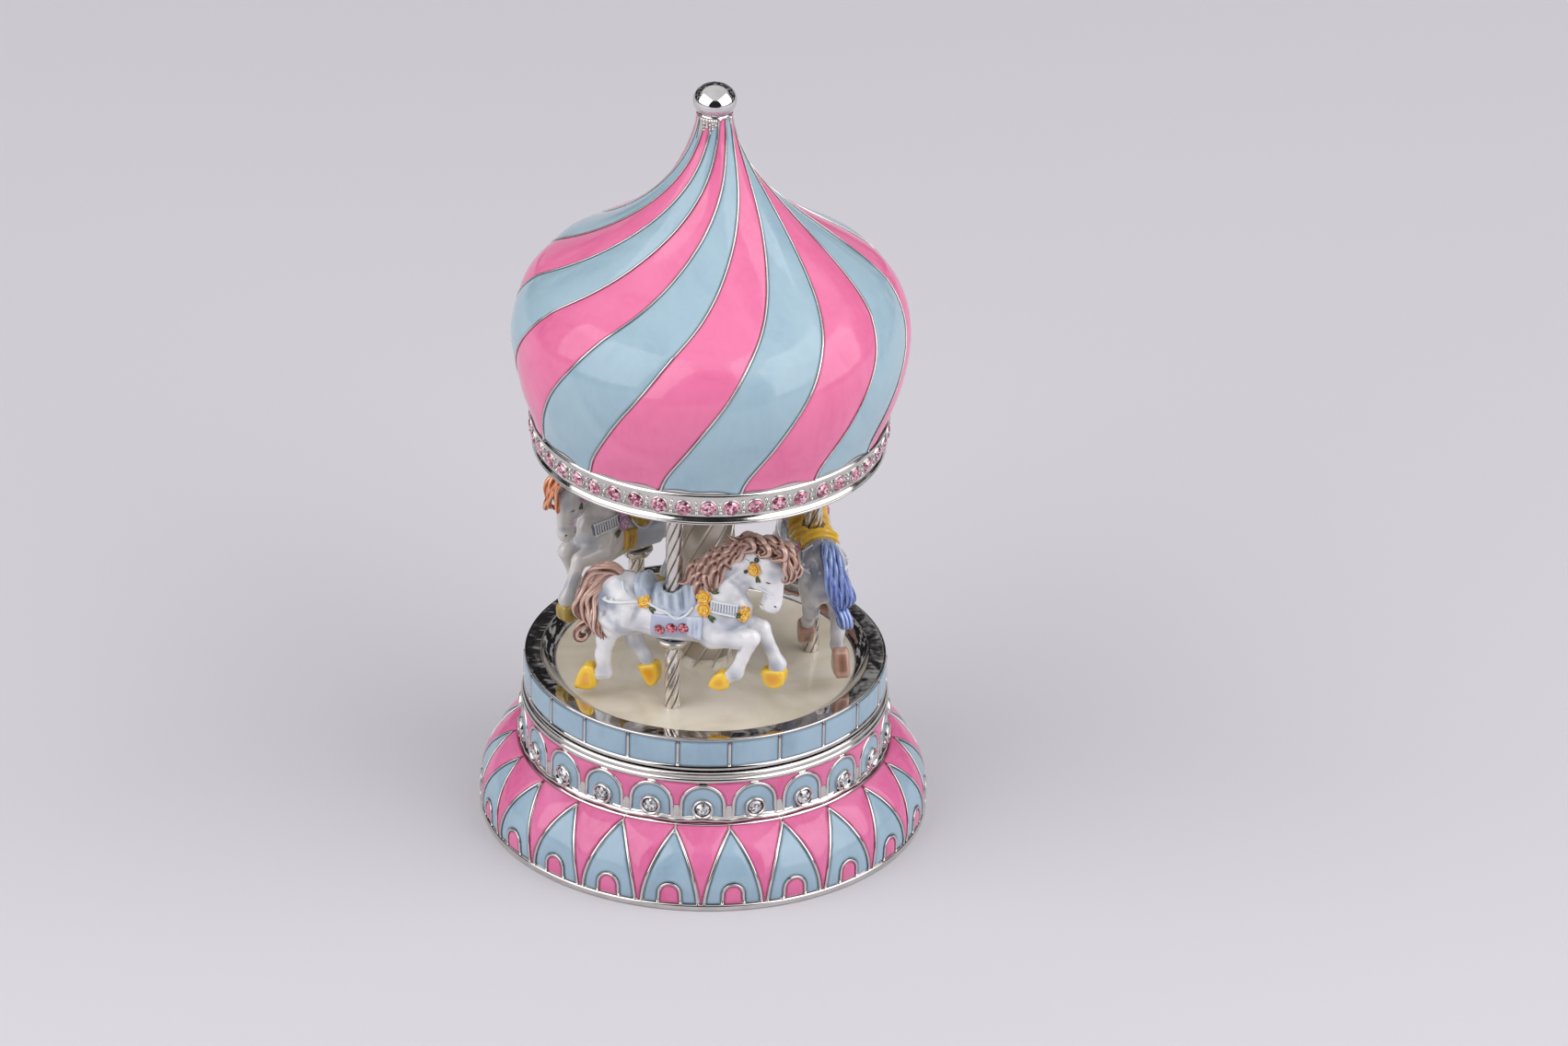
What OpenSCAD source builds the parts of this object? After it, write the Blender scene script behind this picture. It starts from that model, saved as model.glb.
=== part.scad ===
// Carousel music box: an enamelled bell-shaped base holding a wound musical movement,
// and a turntable above it that carries a column, three horses on poles and an onion dome.
// Everything above the seam between base and drum turns as one. Millimetres, +Z up,
// origin on the floor under the turning axis, front of the box towards -Y.

/* [Base] */
// Diameter of the bottom rim
base_d = 81; // [79:0.5:84]
// Height of the top of the base, where the turntable's seam is
base_h = 24.3; // [24:0.1:24.6]
// Height at which the flared skirt meets the upright arcade
skirt_h = 14.3; // [13.5:0.1:15]
// Diameter of the upright arcade wall
arcade_d = 66; // [65.5:0.1:67]
// Number of arches round the arcade
arches = 22; // [12:2:26]
// Diameter of the clear stone in each arch
arch_stone_d = 2.3; // [1.8:0.1:2.8]

/* [Turntable] */
// Diameter of the drum
drum_d = 65.7; // [65:0.1:66.4]
// Height of the drum's polished top ring above the floor
drum_top = 31.05; // [30.8:0.05:31.5]
// Diameter of the cream platform disc
disc_d = 54; // [52:0.5:54]
// Height of the platform's surface above the floor
disc_top = 29.3; // [29:0.1:29.8]
// Gap between the base and the turning drum
seam_gap = 0.35; // [0.3:0.05:0.5]

/* [Column and poles] */
// Diameter of the fluted centre column
column_d = 9.6; // [8:0.1:11]
// Raised ridges round the column
column_ridges = 9; // [6:1:12]
// Height one turn of the column's twist climbs
column_pitch = 54; // [40:1:80]
// Distances of the front, right and left poles from the axis
pole_radii = [18.4, 19.5, 18.4];
// Plan angles of the front, right and left poles
pole_angles = [-108.5, 12, 134];
// Diameter of a pole below its horse
pole_low_d = 2.7; // [2:0.1:2.8]
// Diameter of a pole above its saddle
pole_top_d = 2.9; // [2.8:0.1:3.4]
// Height one turn of the poles' twist climbs
pole_pitch = 20; // [12:1:30]

/* [Horses] */
// How much higher each horse stands than the front one
horse_lifts = [0, 1.6, 1.4];
// Width of a horse's body and limbs against their depth
horse_slim = 0.84; // [0.75:0.01:1]
// Height of the underside of the front horse's belly above the platform
belly_h = 13.4; // [12:0.1:14]

/* [Dome] */
// Height of the underside of the dome's rim
rim_z = 74.2; // [73:0.1:76]
// Height of the stone-set rim band
rim_h = 6.3; // [6:0.1:6.5]
// Diameter of the rim band at its lower bead
rim_d = 63.7; // [63:0.1:64]
// Number of stones round the rim
rim_stones = 46; // [30:1:46]
// Diameter of one rim stone
rim_stone_d = 2.9; // [2.4:0.1:3]
// Height of the dome above the rim band, up to the neck under the ball
dome_h = 58.6; // [55:0.1:62]
// Width of the neck
neck_d = 6.6; // [6:0.1:7.4]
// Wall of the dome shell
dome_wall = 1.5; // [1.2:0.1:2]
// Width of the ball on top
ball_d = 7.9; // [6:0.1:8]
// Height of the ball on top
ball_h = 5.9; // [5.5:0.1:6.4]

/* [Movement] */
// Teeth on the spring barrel's crown gear
crown_teeth = 40; // [40:1:40]
// Teeth on the cylinder's pinion
pinion_teeth = 10; // [10:1:10]
// Teeth on the cylinder's end wheel
wheel_teeth = 36; // [36:1:36]
// Teeth on the governor's pinion
governor_pinion_teeth = 8; // [8:1:8]
// Teeth on the governor's worm wheel
worm_wheel_teeth = 24; // [24:1:24]
// Notes of the comb
notes = 16; // [12:1:18]
// Radius of the winding arbor
arbor_r = 1.5; // [1.4:0.05:1.6]
// Radial play of a turning shaft in its bearing
running_gap = 0.05; // [0.03:0.01:0.08]

/* [Hidden] */
$fn = 96;

// base
flange_h = 1.2;
arcade_r = arcade_d / 2;
stone_z = 17.1;
deck_t = 1.9;
deck_z = base_h - deck_t;
arcade_wall = 1.8;
plate_z = 7;
plate_t = 1.2;
plate_top = plate_z + plate_t;
plate_r = 37.2;
ledge_r = 33;
plate_screw_r = 35;

// turntable
drum_z = base_h + seam_gap;
drum_r = drum_d / 2;
disc_r = disc_d / 2;
disc_t = 1.5;
web_t = 1.35;
ring_inner_r = 29.6;

// dome
band_top = rim_z + rim_h;
rim_r = rim_d / 2;
band_wall = 1.3;
rim_stone_z = rim_z + 3.5;
ceiling_z = rim_z + 0.8;
ceiling_t = 1.2;
ceiling_r = rim_r - band_wall - 0.1;
ceiling_screw_r = ceiling_r - 1.2;
ledge_z = ceiling_z + ceiling_t;
ledge_t = 1.2;
ledge_w = 2.4;
rim_stone_in = 0.15;
neck_z = band_top + dome_h;
ball_z = neck_z + 3.7;

// movement, all heights from the floor
bed_z = plate_top;
bed_t = 1.2;
bed_top = bed_z + bed_t;
bed_r = 30;
crown_r = 8.9;
crown_pitch_z = 12.25;
pinion_r = crown_r * pinion_teeth / crown_teeth;
cyl_z = crown_pitch_z + pinion_r;
cyl_r = 4.9;
cyl_x0 = 11.3;
cyl_x1 = 20.9;
cyl_arbor_r = 0.8;
pivot_r = 0.4;
wheel_module = 0.28;
wheel_r = wheel_module * wheel_teeth / 2;
governor_pinion_r = wheel_module * governor_pinion_teeth / 2;
governor_y = -(wheel_r + governor_pinion_r + 0.04);
wheel_x = 21.3;
wheel_t = 0.8;
worm_wheel_r = 3.2;
worm_wheel_x = 22.9;
worm_wheel_t = 1;
worm_x = worm_wheel_x + worm_wheel_t / 2;
worm_r = 0.75;
worm_depth = 0.15;
worm_y = governor_y - worm_wheel_r - worm_r + worm_depth;
worm_pitch = 2 * PI * (worm_wheel_r - worm_depth) / worm_wheel_teeth;
worm_turns = 6;
worm_lean = 0.22;
click_post = [-7.2, -8.2];
ratchet_teeth = 16;
upright_x = 24.6;
upright_t = 0.8;
hub_r = 2.2;
barrel_r = 7.6;
barrel_z = 10.9;
barrel_top = 18.4;
cover_t = 0.8;
comb_y = cyl_r + 0.35 + 0.3;
comb_z = cyl_z - 0.4;
comb_back_y = 12;

// ---------- shared shapes ----------

// Point on a cubic curve through a, d with handles b, c.
function bez(a, b, c, d, t) =
  pow(1 - t, 3) * a + 3 * t * pow(1 - t, 2) * b + 3 * t * t * (1 - t) * c + pow(t, 3) * d;

// n + 1 points along a cubic curve.
function curve(a, b, c, d, n) = [for (i = [0:n]) bez(a, b, c, d, i / n)];

// Point at a radius and an angle.
function spoke(r, a) = r * [cos(a), sin(a)];

// Points of an arc, for round mouldings in a profile.
function arc(c, r, a0, a1, n) =
  [for (i = [0:n]) c + spoke(r, a0 + (a1 - a0) * i / n)];

// Outline of the flared skirt, from the arcade down to the flange.
skirt = curve([arcade_r + 0.4, skirt_h], [37.2, 12.3], [base_d / 2 + 0.7, 8.2],
              [base_d / 2 - 0.15, flange_h + 0.1], 16);

// Outline of the onion dome, from the band up to the neck.
shoulder = [rim_r, band_top + 0.444 * dome_h];
dome_low = curve([rim_r + 0.35, band_top], [rim_r + 0.25, band_top + 3.6],
                 [39.8, band_top + 17], shoulder, 14);
dome_high = curve(shoulder, [29.8, band_top + 29.7], [neck_d / 2 + 3.1, band_top + 38.7],
                  [neck_d / 2, neck_z], 14);
dome_outline = concat(dome_low, [for (i = [1:len(dome_high) - 1]) dome_high[i]]);

// Puts children at each of n places round the axis, first one at angle a0.
module around(n, a0 = -90) {
  for (i = [0:n - 1]) rotate([0, 0, a0 + i * 360 / n]) children();
}

// Depth of a stone below its girdle, as a share of its diameter.
stone_depth = 0.28;

// A faceted round stone pointing along +X, its setting plane at x = 0.
module stone(d) {
  rotate([0, 90, 0]) {
    translate([0, 0, -stone_depth * d]) cylinder(h = stone_depth * d, r1 = 0.2 * d, r2 = d / 2);
    cylinder(h = 0.16 * d, r1 = d / 2, r2 = 0.3 * d);
  }
}

// A pan-head screw with its head's underside at z = 0, shank upwards.
module screw(d, length, head_d, head_h) {
  difference() {
    union() {
      cylinder(h = length, d = d, $fn = 32);
      translate([0, 0, -head_h]) cylinder(h = head_h, d = head_d, $fn = 32);
    }
    translate([-head_d / 2, -0.2, -head_h - 1]) cube([head_d, 0.4, 1 + head_h / 2]);
  }
}

// Outline of a spur gear with straight-sided teeth, a tooth on +X.
module gear2d(teeth, root_r, tip_r, root_w, tip_w) {
  pitch = 360 / teeth;
  polygon([for (i = [0:teeth - 1]) for (p = [[root_r, -root_w], [tip_r, -tip_w],
                                             [tip_r, tip_w], [root_r, root_w]])
    spoke(p[0], i * pitch + p[1] / p[0] * 90 / PI)]);
}

// A rod whose section has rounded lobes, twisted along its length.
module twisted_rod(d, lobes, height, pitch, depth, step) {
  n = lobes * 2;
  linear_extrude(height = height, twist = -360 * height / pitch,
                 slices = ceil(height / step), segments = n)
    polygon([for (i = [0:n - 1]) spoke(d / 2 - (i % 2) * depth, i * 360 / n)]);
}

// ---------- base ----------

// Hollow enamelled casting: bell skirt, arcade wall and the deck the turntable runs on.
module base_casting() color("hotpink") difference() {
  union() {
    rotate_extrude() polygon(concat(
      [[hub_r + running_gap, deck_z], [hub_r + running_gap, base_h], [arcade_r - 0.8, base_h]],
      arc([arcade_r - 0.4, base_h - 0.55], 0.55, 90, -60, 6),
      arc([arcade_r - 0.4, base_h - 1.6], 0.6, 60, -60, 6),
      [[arcade_r, base_h - 2.3], [arcade_r, skirt_h + 1], [arcade_r + 0.5, skirt_h + 0.8]],
      skirt,
      [[base_d / 2, flange_h], [base_d / 2, 0], [plate_r + 0.2, 0], [plate_r + 0.2, plate_top],
       [ledge_r, plate_top], [ledge_r, skirt_h - 3], [arcade_r - arcade_wall, skirt_h],
       [arcade_r - arcade_wall, deck_z]]));
    around(arches) translate([arcade_r - 0.5, 0, stone_z]) rotate([0, 90, 0])
      cylinder(h = 1.1, r = arch_stone_d / 2 + 0.55, $fn = 32);
  }
  around(arches) translate([arcade_r + 0.6, 0, stone_z]) rotate([0, -90, 0])
    cylinder(h = 0.32 * arch_stone_d, r = arch_stone_d / 2 + 0.01, $fn = 32);
  around(3, 30) translate([plate_screw_r, 0, plate_z]) cylinder(h = 4.2, d = 2, $fn = 32);
}

// Clear stones in the arches.
module arcade_crystals() color("white")
  around(arches) translate([arcade_r + 0.6, 0, stone_z]) stone(arch_stone_d);

// Plate that closes the movement's chamber, set back so that the key stays clear of the floor.
module bottom_plate() color("silver") difference() {
  translate([0, 0, plate_z]) cylinder(h = plate_t, r = plate_r);
  translate([0, 0, plate_z - 1]) cylinder(h = plate_t + 2, r = arbor_r + 0.7);
  around(3, 30) translate([plate_screw_r, 0, plate_z - 1]) cylinder(h = plate_t + 2, d = 2.2, $fn = 32);
  for (p = bed_screws) translate([p[0], p[1], plate_z - 1])
    cylinder(h = plate_t + 2, d = 1.8, $fn = 32);
}

module bottom_plate_screws() color("silver")
  around(3, 30) translate([plate_screw_r, 0, plate_z]) screw(2, 3.8, 3.6, 1);

// ---------- movement ----------

bed_screws = [[-9, 11], [-9, -11], [27.3, 0]];
comb_screws_x = [12.6, 16.1, 19.6];
bracket_screws = [[15.7, -12.6], [22, -14.2]];

// Bedplate with the comb's step and the cylinder's inner bearing, windowed under the cylinder.
module movement_bedplate() color("silver") difference() {
  union() {
    intersection() {
      translate([-12, -16, bed_z]) cube([42, 34, bed_t]);
      translate([0, 0, bed_z]) cylinder(h = bed_t, r = bed_r);
    }
    translate([cyl_x0 + 0.2, comb_back_y + 0.5, bed_top]) cube([9.6, 4.5, comb_z - bed_top]);
    translate([cyl_x0 - 1.1, -1.6, bed_top]) cube([0.7, 3.2, cyl_z + 1.4 - bed_top]);
  }
  translate([cyl_x0 - 0.2, -5.6, bed_z - 1]) cube([11.4, 11.2, bed_t + 2]);
  translate([0, 0, bed_z - 1]) cylinder(h = bed_t + 2, r = arbor_r + running_gap);
  translate([cyl_x0 - 2, 0, cyl_z]) rotate([0, 90, 0])
    cylinder(h = 3, r = cyl_arbor_r + running_gap, $fn = 32);
  translate([worm_x, worm_y, bed_z - 1])
    cylinder(h = bed_t + 2, r = pivot_r + running_gap, $fn = 32);
  for (p = bed_screws) translate([p[0], p[1], bed_z - 1])
    cylinder(h = bed_t + 2, d = 1.6, $fn = 32);
  for (p = bracket_screws) translate([p[0], p[1], bed_z - 1])
    cylinder(h = bed_t + 2, d = 1.2, $fn = 32);
  for (x = comb_screws_x) translate([x, comb_back_y + 2.8, comb_z - 3])
    cylinder(h = 4, d = 1.4, $fn = 32);
}

module movement_screws() color("silver")
  for (p = bed_screws) translate([p[0], p[1], plate_z]) screw(1.6, plate_t + bed_t, 3, 0.9);

// Steel comb: one tooth a note, the bass teeth longest.
module comb() color("lightsteelblue") difference() {
  union() {
    translate([cyl_x0 + 0.2, comb_back_y + 0.4, comb_z]) cube([9.6, 4.6, 0.8]);
    for (i = [0:notes - 1]) translate([cyl_x0 + 0.3 + i * 9.4 / notes, comb_y, comb_z])
      cube([0.42, comb_back_y + 0.6 - comb_y - 0.1 * (notes - i) / notes, 0.5]);
  }
  for (x = comb_screws_x) translate([x, comb_back_y + 2.8, comb_z - 1])
    cylinder(h = 3, d = 1.5, $fn = 32);
}

module comb_screws() color("silver")
  for (x = comb_screws_x) translate([x, comb_back_y + 2.8, comb_z + 0.8]) rotate([180, 0, 0])
    screw(1.4, 3.4, 2.6, 0.7);

// Flexible click: a leaf that keeps the wound ratchet from turning back.
module click_spring() color("lightsteelblue") {
  translate([click_post[0], click_post[1], bed_top]) cylinder(h = 1.1, r = 1.2, $fn = 32);
  translate([click_post[0] + 0.6, click_post[1] + 0.2, bed_top + 0.3]) rotate([0, 0, 33])
    cube([6.5, 0.35, 0.8]);
}

// Bracket that bears the cylinder's outer end, the governor wheel and the fly.
module governor_bracket() color("silver") difference() {
  union() {
    translate([upright_x, governor_y - 1.4, bed_top])
      cube([upright_t, 2.9 - governor_y, cyl_z + 1.5 - bed_top]);
    translate([19.9, governor_y - 3, bed_top]) cube([0.6, 3.4, cyl_z + 1.2 - bed_top]);
    translate([16.9, -13.8, bed_top]) cube([8.5, 2.2, 0.9]);
    translate([14.5, -13.8, bed_top]) cube([2.6, 2.4, 0.9]);
    translate([16.9, -13.8, bed_top]) cube([1.6, 2.6, 20.9 - bed_top]);
    translate([16.9, -13.8, 20.9]) cube([8, 5, 0.9]);
    translate([19.9, -13.8, bed_top]) cube([0.6, 7.6, 0.9]);
    translate([upright_x, -13.8, bed_top]) cube([upright_t, 8, 0.9]);
    translate([20.4, -15.3, bed_top]) cube([3.2, 2.4, 0.9]);
  }
  translate([upright_x - 1, 0, cyl_z]) rotate([0, 90, 0])
    cylinder(h = 3, r = cyl_arbor_r + running_gap, $fn = 32);
  translate([19, governor_y, cyl_z]) rotate([0, 90, 0])
    cylinder(h = 8, r = pivot_r + running_gap, $fn = 32);
  translate([worm_x, worm_y, 20]) cylinder(h = 3, r = pivot_r + running_gap, $fn = 32);
  for (p = bracket_screws) translate([p[0], p[1], bed_z]) cylinder(h = 4, d = 1.3, $fn = 32);
}

module governor_bracket_screws() color("silver")
  for (p = bracket_screws) translate([p[0], p[1], bed_top + 0.9]) rotate([180, 0, 0])
    screw(1.2, 2, 2, 0.5);

// Butterfly key under the base, folded into the recess.
module winding_key() color("silver") difference() {
  union() {
    translate([0, 0, 1.6]) cylinder(h = 5, r = 2.7);
    for (s = [-1, 1]) hull() {
      translate([s * 7, 0.75, 3.4]) rotate([90, 0, 0]) cylinder(h = 1.5, r = 2.6, $fn = 32);
      translate([s * 1.6, 0.75, 3.6]) rotate([90, 0, 0]) cylinder(h = 1.5, r = 1.6, $fn = 32);
    }
  }
  translate([0, 0, 3]) cylinder(h = 5, r = arbor_r);
}

// Arbor that the key turns; the inner end of the mainspring hooks on it.
module winding_arbor() color("silver") {
  translate([0, 0, 3]) cylinder(h = barrel_top - 3.3, r = arbor_r);
}

module ratchet_wheel() color("silver") difference() {
  translate([0, 0, bed_top + 0.3]) linear_extrude(0.8) polygon([for (i = [0:ratchet_teeth - 1])
    for (p = [[4.2, 0], [3.3, 0.04]]) spoke(p[0], (i + p[1]) * 360 / ratchet_teeth)]);
  translate([0, 0, bed_top]) cylinder(h = 3, r = arbor_r);
}

// Barrel: its flange carries the crown teeth, its wall holds the mainspring.
module spring_barrel() color("gold") difference() {
  union() {
    translate([0, 0, barrel_z]) cylinder(h = 0.8, r = crown_r + 0.65);
    translate([0, 0, barrel_z]) cylinder(h = barrel_top - barrel_z, r = barrel_r);
    around(crown_teeth, 0) translate([crown_r - 0.6, -0.21, barrel_z + 0.7])
      cube([1.25, 0.42, 1]);
  }
  translate([0, 0, barrel_z + 0.9]) cylinder(h = 10, r = barrel_r - 0.8);
  translate([0, 0, barrel_z - 1]) cylinder(h = 4, r = arbor_r + running_gap);
}

module barrel_cover() color("gold") difference() {
  translate([0, 0, barrel_top]) cylinder(h = cover_t, r = barrel_r);
  for (a = [0:120:240]) rotate([0, 0, a]) translate([4.5, 0, barrel_top - 1])
    cylinder(h = 3, d = 1.2, $fn = 32);
}

// Coiled mainspring, its outer end against the barrel's wall.
module mainspring() color("lightsteelblue") {
  turns = 3.5;
  steps = 56;
  spring_t = 0.35;
  inner = function(i) 2.3 + 4 * i / steps;
  translate([0, 0, barrel_z + 1.3]) linear_extrude(5.6) polygon(concat(
    [for (i = [0:steps]) spoke(inner(i), i * 360 * turns / steps)],
    [for (i = [steps:-1:0]) spoke(inner(i) + spring_t, i * 360 * turns / steps)]));
}

// Hub on the barrel that passes through the deck and carries the turntable.
module drive_hub() color("silver") difference() {
  union() {
    translate([0, 0, barrel_top + cover_t])
      cylinder(h = drum_z + web_t - barrel_top - cover_t, r = hub_r);
    for (a = [0:120:240]) rotate([0, 0, a]) translate([4.5, 0, barrel_top])
      cylinder(h = cover_t + 1.2, d = 1.2, $fn = 32);
    translate([0, 0, barrel_top + cover_t]) cylinder(h = 1.2, r = 5.3);
  }
  translate([0, 0, 22]) cylinder(h = 10, r = 1.5);
}

// Pinned cylinder: each row of pins plays one note.
module music_cylinder() color("gold") difference() {
  union() {
    translate([cyl_x0, 0, cyl_z]) rotate([0, 90, 0]) cylinder(h = cyl_x1 - cyl_x0, r = cyl_r);
    for (i = [0:notes - 1]) for (k = [0:2])
      translate([cyl_x0 + 0.5 + i * 9.4 / notes, 0, cyl_z])
        rotate([(i * 137 + k * 101 + 60) % 360, 0, 0]) translate([0, 0, cyl_r - 0.3])
          cylinder(h = 0.65, r = 0.13, $fn = 16);
  }
  translate([cyl_x0 - 1, 0, cyl_z]) rotate([0, 90, 0]) cylinder(h = 20, r = cyl_arbor_r, $fn = 48);
}

// Cylinder's arbor with its driven pinion and the wheel that drives the governor.
module cylinder_arbor() color("silver") translate([0, 0, cyl_z]) rotate([0, 90, 0]) {
  translate([0, 0, crown_r - 0.7])
    cylinder(h = upright_x + upright_t - crown_r + 0.7, r = cyl_arbor_r, $fn = 48);
  translate([0, 0, crown_r - 0.6]) linear_extrude(1.2) rotate([0, 0, 180 / pinion_teeth])
    gear2d(pinion_teeth, pinion_r - 0.45, pinion_r + 0.38, 0.34, 0.14);
  translate([0, 0, wheel_x]) linear_extrude(wheel_t)
    gear2d(wheel_teeth, wheel_r - 0.35, wheel_r + 0.26, 0.19, 0.08);
}

// Governor wheel: the pinion the cylinder drives, and the worm wheel.
module governor_wheel() color("gold") translate([0, governor_y, cyl_z]) rotate([0, 90, 0]) {
  translate([0, 0, 19.9]) cylinder(h = upright_x + upright_t - 19.9, r = pivot_r, $fn = 32);
  translate([0, 0, wheel_x]) linear_extrude(wheel_t) rotate([0, 0, 90 + 180 / governor_pinion_teeth])
    gear2d(governor_pinion_teeth, governor_pinion_r - 0.34, governor_pinion_r + 0.24, 0.16, 0.07);
  translate([0, 0, worm_wheel_x]) linear_extrude(worm_wheel_t)
    gear2d(worm_wheel_teeth, worm_wheel_r - 0.3, worm_wheel_r, 0.26, 0.1);
}

// Fly: a worm on an upright arbor with two vanes that brake against the air.
module governor_fly() color("silver") translate([worm_x, worm_y, 0]) {
  translate([0, 0, bed_z + 0.2]) cylinder(h = 13.4, r = pivot_r, $fn = 32);
  translate([0, 0, cyl_z - worm_pitch * worm_turns / 2]) rotate([0, 0, -90])
    linear_extrude(height = worm_pitch * worm_turns, twist = -360 * worm_turns,
                   slices = 60, segments = 14)
      translate([worm_lean, 0]) circle(r = worm_r - worm_lean, $fn = 14);
  translate([0, 0, 18.4]) cylinder(h = 2.2, r = 0.8, $fn = 32);
  for (s = [0, 180]) rotate([0, 0, s]) translate([0.5, -0.15, 18.4]) cube([3.3, 0.3, 2.2]);
}

// ---------- turntable ----------

// Drum: enamelled side, polished top ring, sloped well for the platform and a closed web.
module turntable_drum() color("lightblue") rotate_extrude() polygon([
  [hub_r + 0.02, drum_z], [drum_r - 1, drum_z], [drum_r - 0.25, drum_z + 0.3], [drum_r, drum_z + 0.8],
  [drum_r, drum_top - 0.9], [drum_r - 0.35, drum_top - 0.2], [drum_r - 0.6, drum_top],
  [ring_inner_r, drum_top], [ring_inner_r - 0.2, drum_top - 0.15],
  [disc_r + 0.05, disc_top + 0.2], [disc_r + 0.05, disc_top - disc_t],
  [disc_r - 1, disc_top - disc_t], [disc_r - 1, drum_z + web_t],
  [hub_r + 0.02, drum_z + web_t]]);

module platform_disc() color("beige") difference() {
  translate([0, 0, disc_top - disc_t]) cylinder(h = disc_t, r = disc_r);
  translate([0, 0, disc_top - disc_t - 1]) cylinder(h = disc_t + 2, r = 1.6);
  for (i = [0:2]) at_pole(i, disc_top - disc_t - 1)
    cylinder(h = disc_t + 2, r = pole_low_d / 2 + 0.05, $fn = 48);
}

module centre_column() color("silver") difference() {
  translate([0, 0, disc_top])
    twisted_rod(column_d, column_ridges, ceiling_z - disc_top, column_pitch, 0.45, 1.6);
  translate([0, 0, disc_top - 1]) cylinder(h = 60, r = 1.6);
}

// Rod that clamps platform, column and ceiling plate to the drive hub.
module tie_rod() color("silver") translate([0, 0, 22]) cylinder(h = ceiling_z + 5 - 22, r = 1.5);

module tie_rod_nut() color("silver") difference() {
  translate([0, 0, ceiling_z + ceiling_t]) cylinder(h = 2.4, r = 3, $fn = 6);
  translate([0, 0, ceiling_z]) cylinder(h = 6, r = 1.5);
}

// ---------- poles and horses ----------

// Puts children at height z on the axis of pole i.
module at_pole(i, z) {
  rotate([0, 0, pole_angles[i]]) translate([pole_radii[i], 0, z]) children();
}

module pole(i) color("silver") at_pole(i, 0) {
  saddle_z = disc_top + belly_h + horse_lifts[i] + 6;
  translate([0, 0, disc_top - disc_t])
    twisted_rod(pole_low_d, 6, saddle_z - disc_top + disc_t, pole_pitch, 0.16, 1.1);
  translate([0, 0, saddle_z])
    twisted_rod(pole_top_d, 6, ceiling_z + 0.6 - saddle_z, pole_pitch, 0.18, 1.1);
}

// Chain of tapered round limbs through the points of a list of [x, y, z, r].
module limb(points) {
  for (i = [0:len(points) - 2]) hull() for (p = [points[i], points[i + 1]])
    translate([p[0], p[1], p[2]]) sphere(r = p[3], $fn = 10);
}

// Legs of each horse as [x, y, z, r] from body to hoof, heights above its hoof line.
hind_near = [[-9.5, -2.2, 17, 3.4], [-11.9, -2.5, 12, 1.7],
             [-12.3, -2.5, 6.2, 1.2], [-14.9, -2.5, 4.9, 1.5]];
hind_far = [[-8.5, 2.2, 16, 3.4], [-7.4, 2.4, 10.8, 1.7],
            [-4.5, 2.4, 7.4, 1.2], [-4.6, 2.4, 5, 1.5]];
fore_near = [[9, -2.2, 18.8, 3], [15.7, -2.5, 18.2, 1.6],
             [13.1, -2.5, 11.2, 1.1], [10.2, -2.5, 9.2, 1.5]];
fore_far = [[11.4, 2.2, 18.6, 2.8], [16.7, 2.4, 18, 1.5],
            [19.1, 2.4, 12, 1.1], [18.9, 2.4, 9.4, 1.5]];

// One galloping horse, nose along +X, turned on its pole at the local origin.
module horse() {
  difference() {
    scale([1, horse_slim, 1]) {
      hull() for (p = [[9, 0, 21, 4.5], [0, 0, 19.2, 5], [-9.6, 0, 20.2, 5]])
        translate([p[0], p[1], p[2]]) sphere(r = p[3], $fn = 20);
      limb([[8.6, 0, 23.5, 3.8], [13.3, -0.2, 31.5, 2.5]]);
      limb([[15.4, -0.4, 33, 2.4], [19.1, -0.7, 26.4, 1.6]]);
      limb([[4.6, 0, 27, 1.5], [8.4, 0, 33, 1.8], [12.8, 0, 36, 1.7], [18, -0.3, 34.8, 1.2]]);
      limb([[-12, 0, 24.2, 1.8], [-15.6, -0.3, 21.2, 1.9],
            [-15.2, -1.4, 17, 1.7], [-14.4, -2.4, 13.8, 1.2]]);
      limb(hind_near);
      limb(hind_far);
      limb(fore_near);
      limb(fore_far);
      limb([[-2.4, 0, 24, 1.6], [-4.8, 0, 25, 1.3]]);
    }
    cylinder(h = 40, r = pole_top_d / 2 + 0.05, $fn = 24);
  }
}

// Puts children where horse i stands, facing round the ring.
module on_pole(i) {
  at_pole(i, disc_top + horse_lifts[i]) rotate([0, 0, 90]) children();
}

module horse_front() color("white") on_pole(0) horse();
module horse_right() color("white") on_pole(1) horse();
module horse_left() color("white") on_pole(2) horse();

// Bush under each belly that the pole passes through.
module belly_caps() color("silver") for (i = [0:2]) on_pole(i) difference() {
  translate([0, 0, belly_h - 1]) cylinder(h = 1.6, r1 = 2.2, r2 = 2.9, $fn = 48);
  cylinder(h = 30, r = pole_low_d / 2 + 0.05, $fn = 48);
}

// Three stones on the outer edge of each saddle blanket.
module saddle_crystals() color("crimson") for (i = [0:2]) on_pole(i)
  for (x = [-3.4, -1, 1.4]) translate([x, -5.1 * horse_slim, 16.6])
    rotate([0, 0, -90]) stone(1.6);

// ---------- canopy ----------

module ceiling_plate() color("silver") difference() {
  translate([0, 0, ceiling_z]) cylinder(h = ceiling_t, r = ceiling_r);
  translate([0, 0, ceiling_z - 1]) cylinder(h = 4, r = 1.6);
  for (i = [0:2]) at_pole(i, ceiling_z - 1)
    cylinder(h = 1.6, r = pole_top_d / 2 + 0.05, $fn = 48);
  around(3, 30) translate([ceiling_screw_r, 0, ceiling_z - 1]) cylinder(h = 4, d = 1.5, $fn = 32);
}

module ceiling_screws() color("silver")
  around(3, 30) translate([ceiling_screw_r, 0, ceiling_z]) screw(1.4, 2, 2.4, 0.7);

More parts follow.
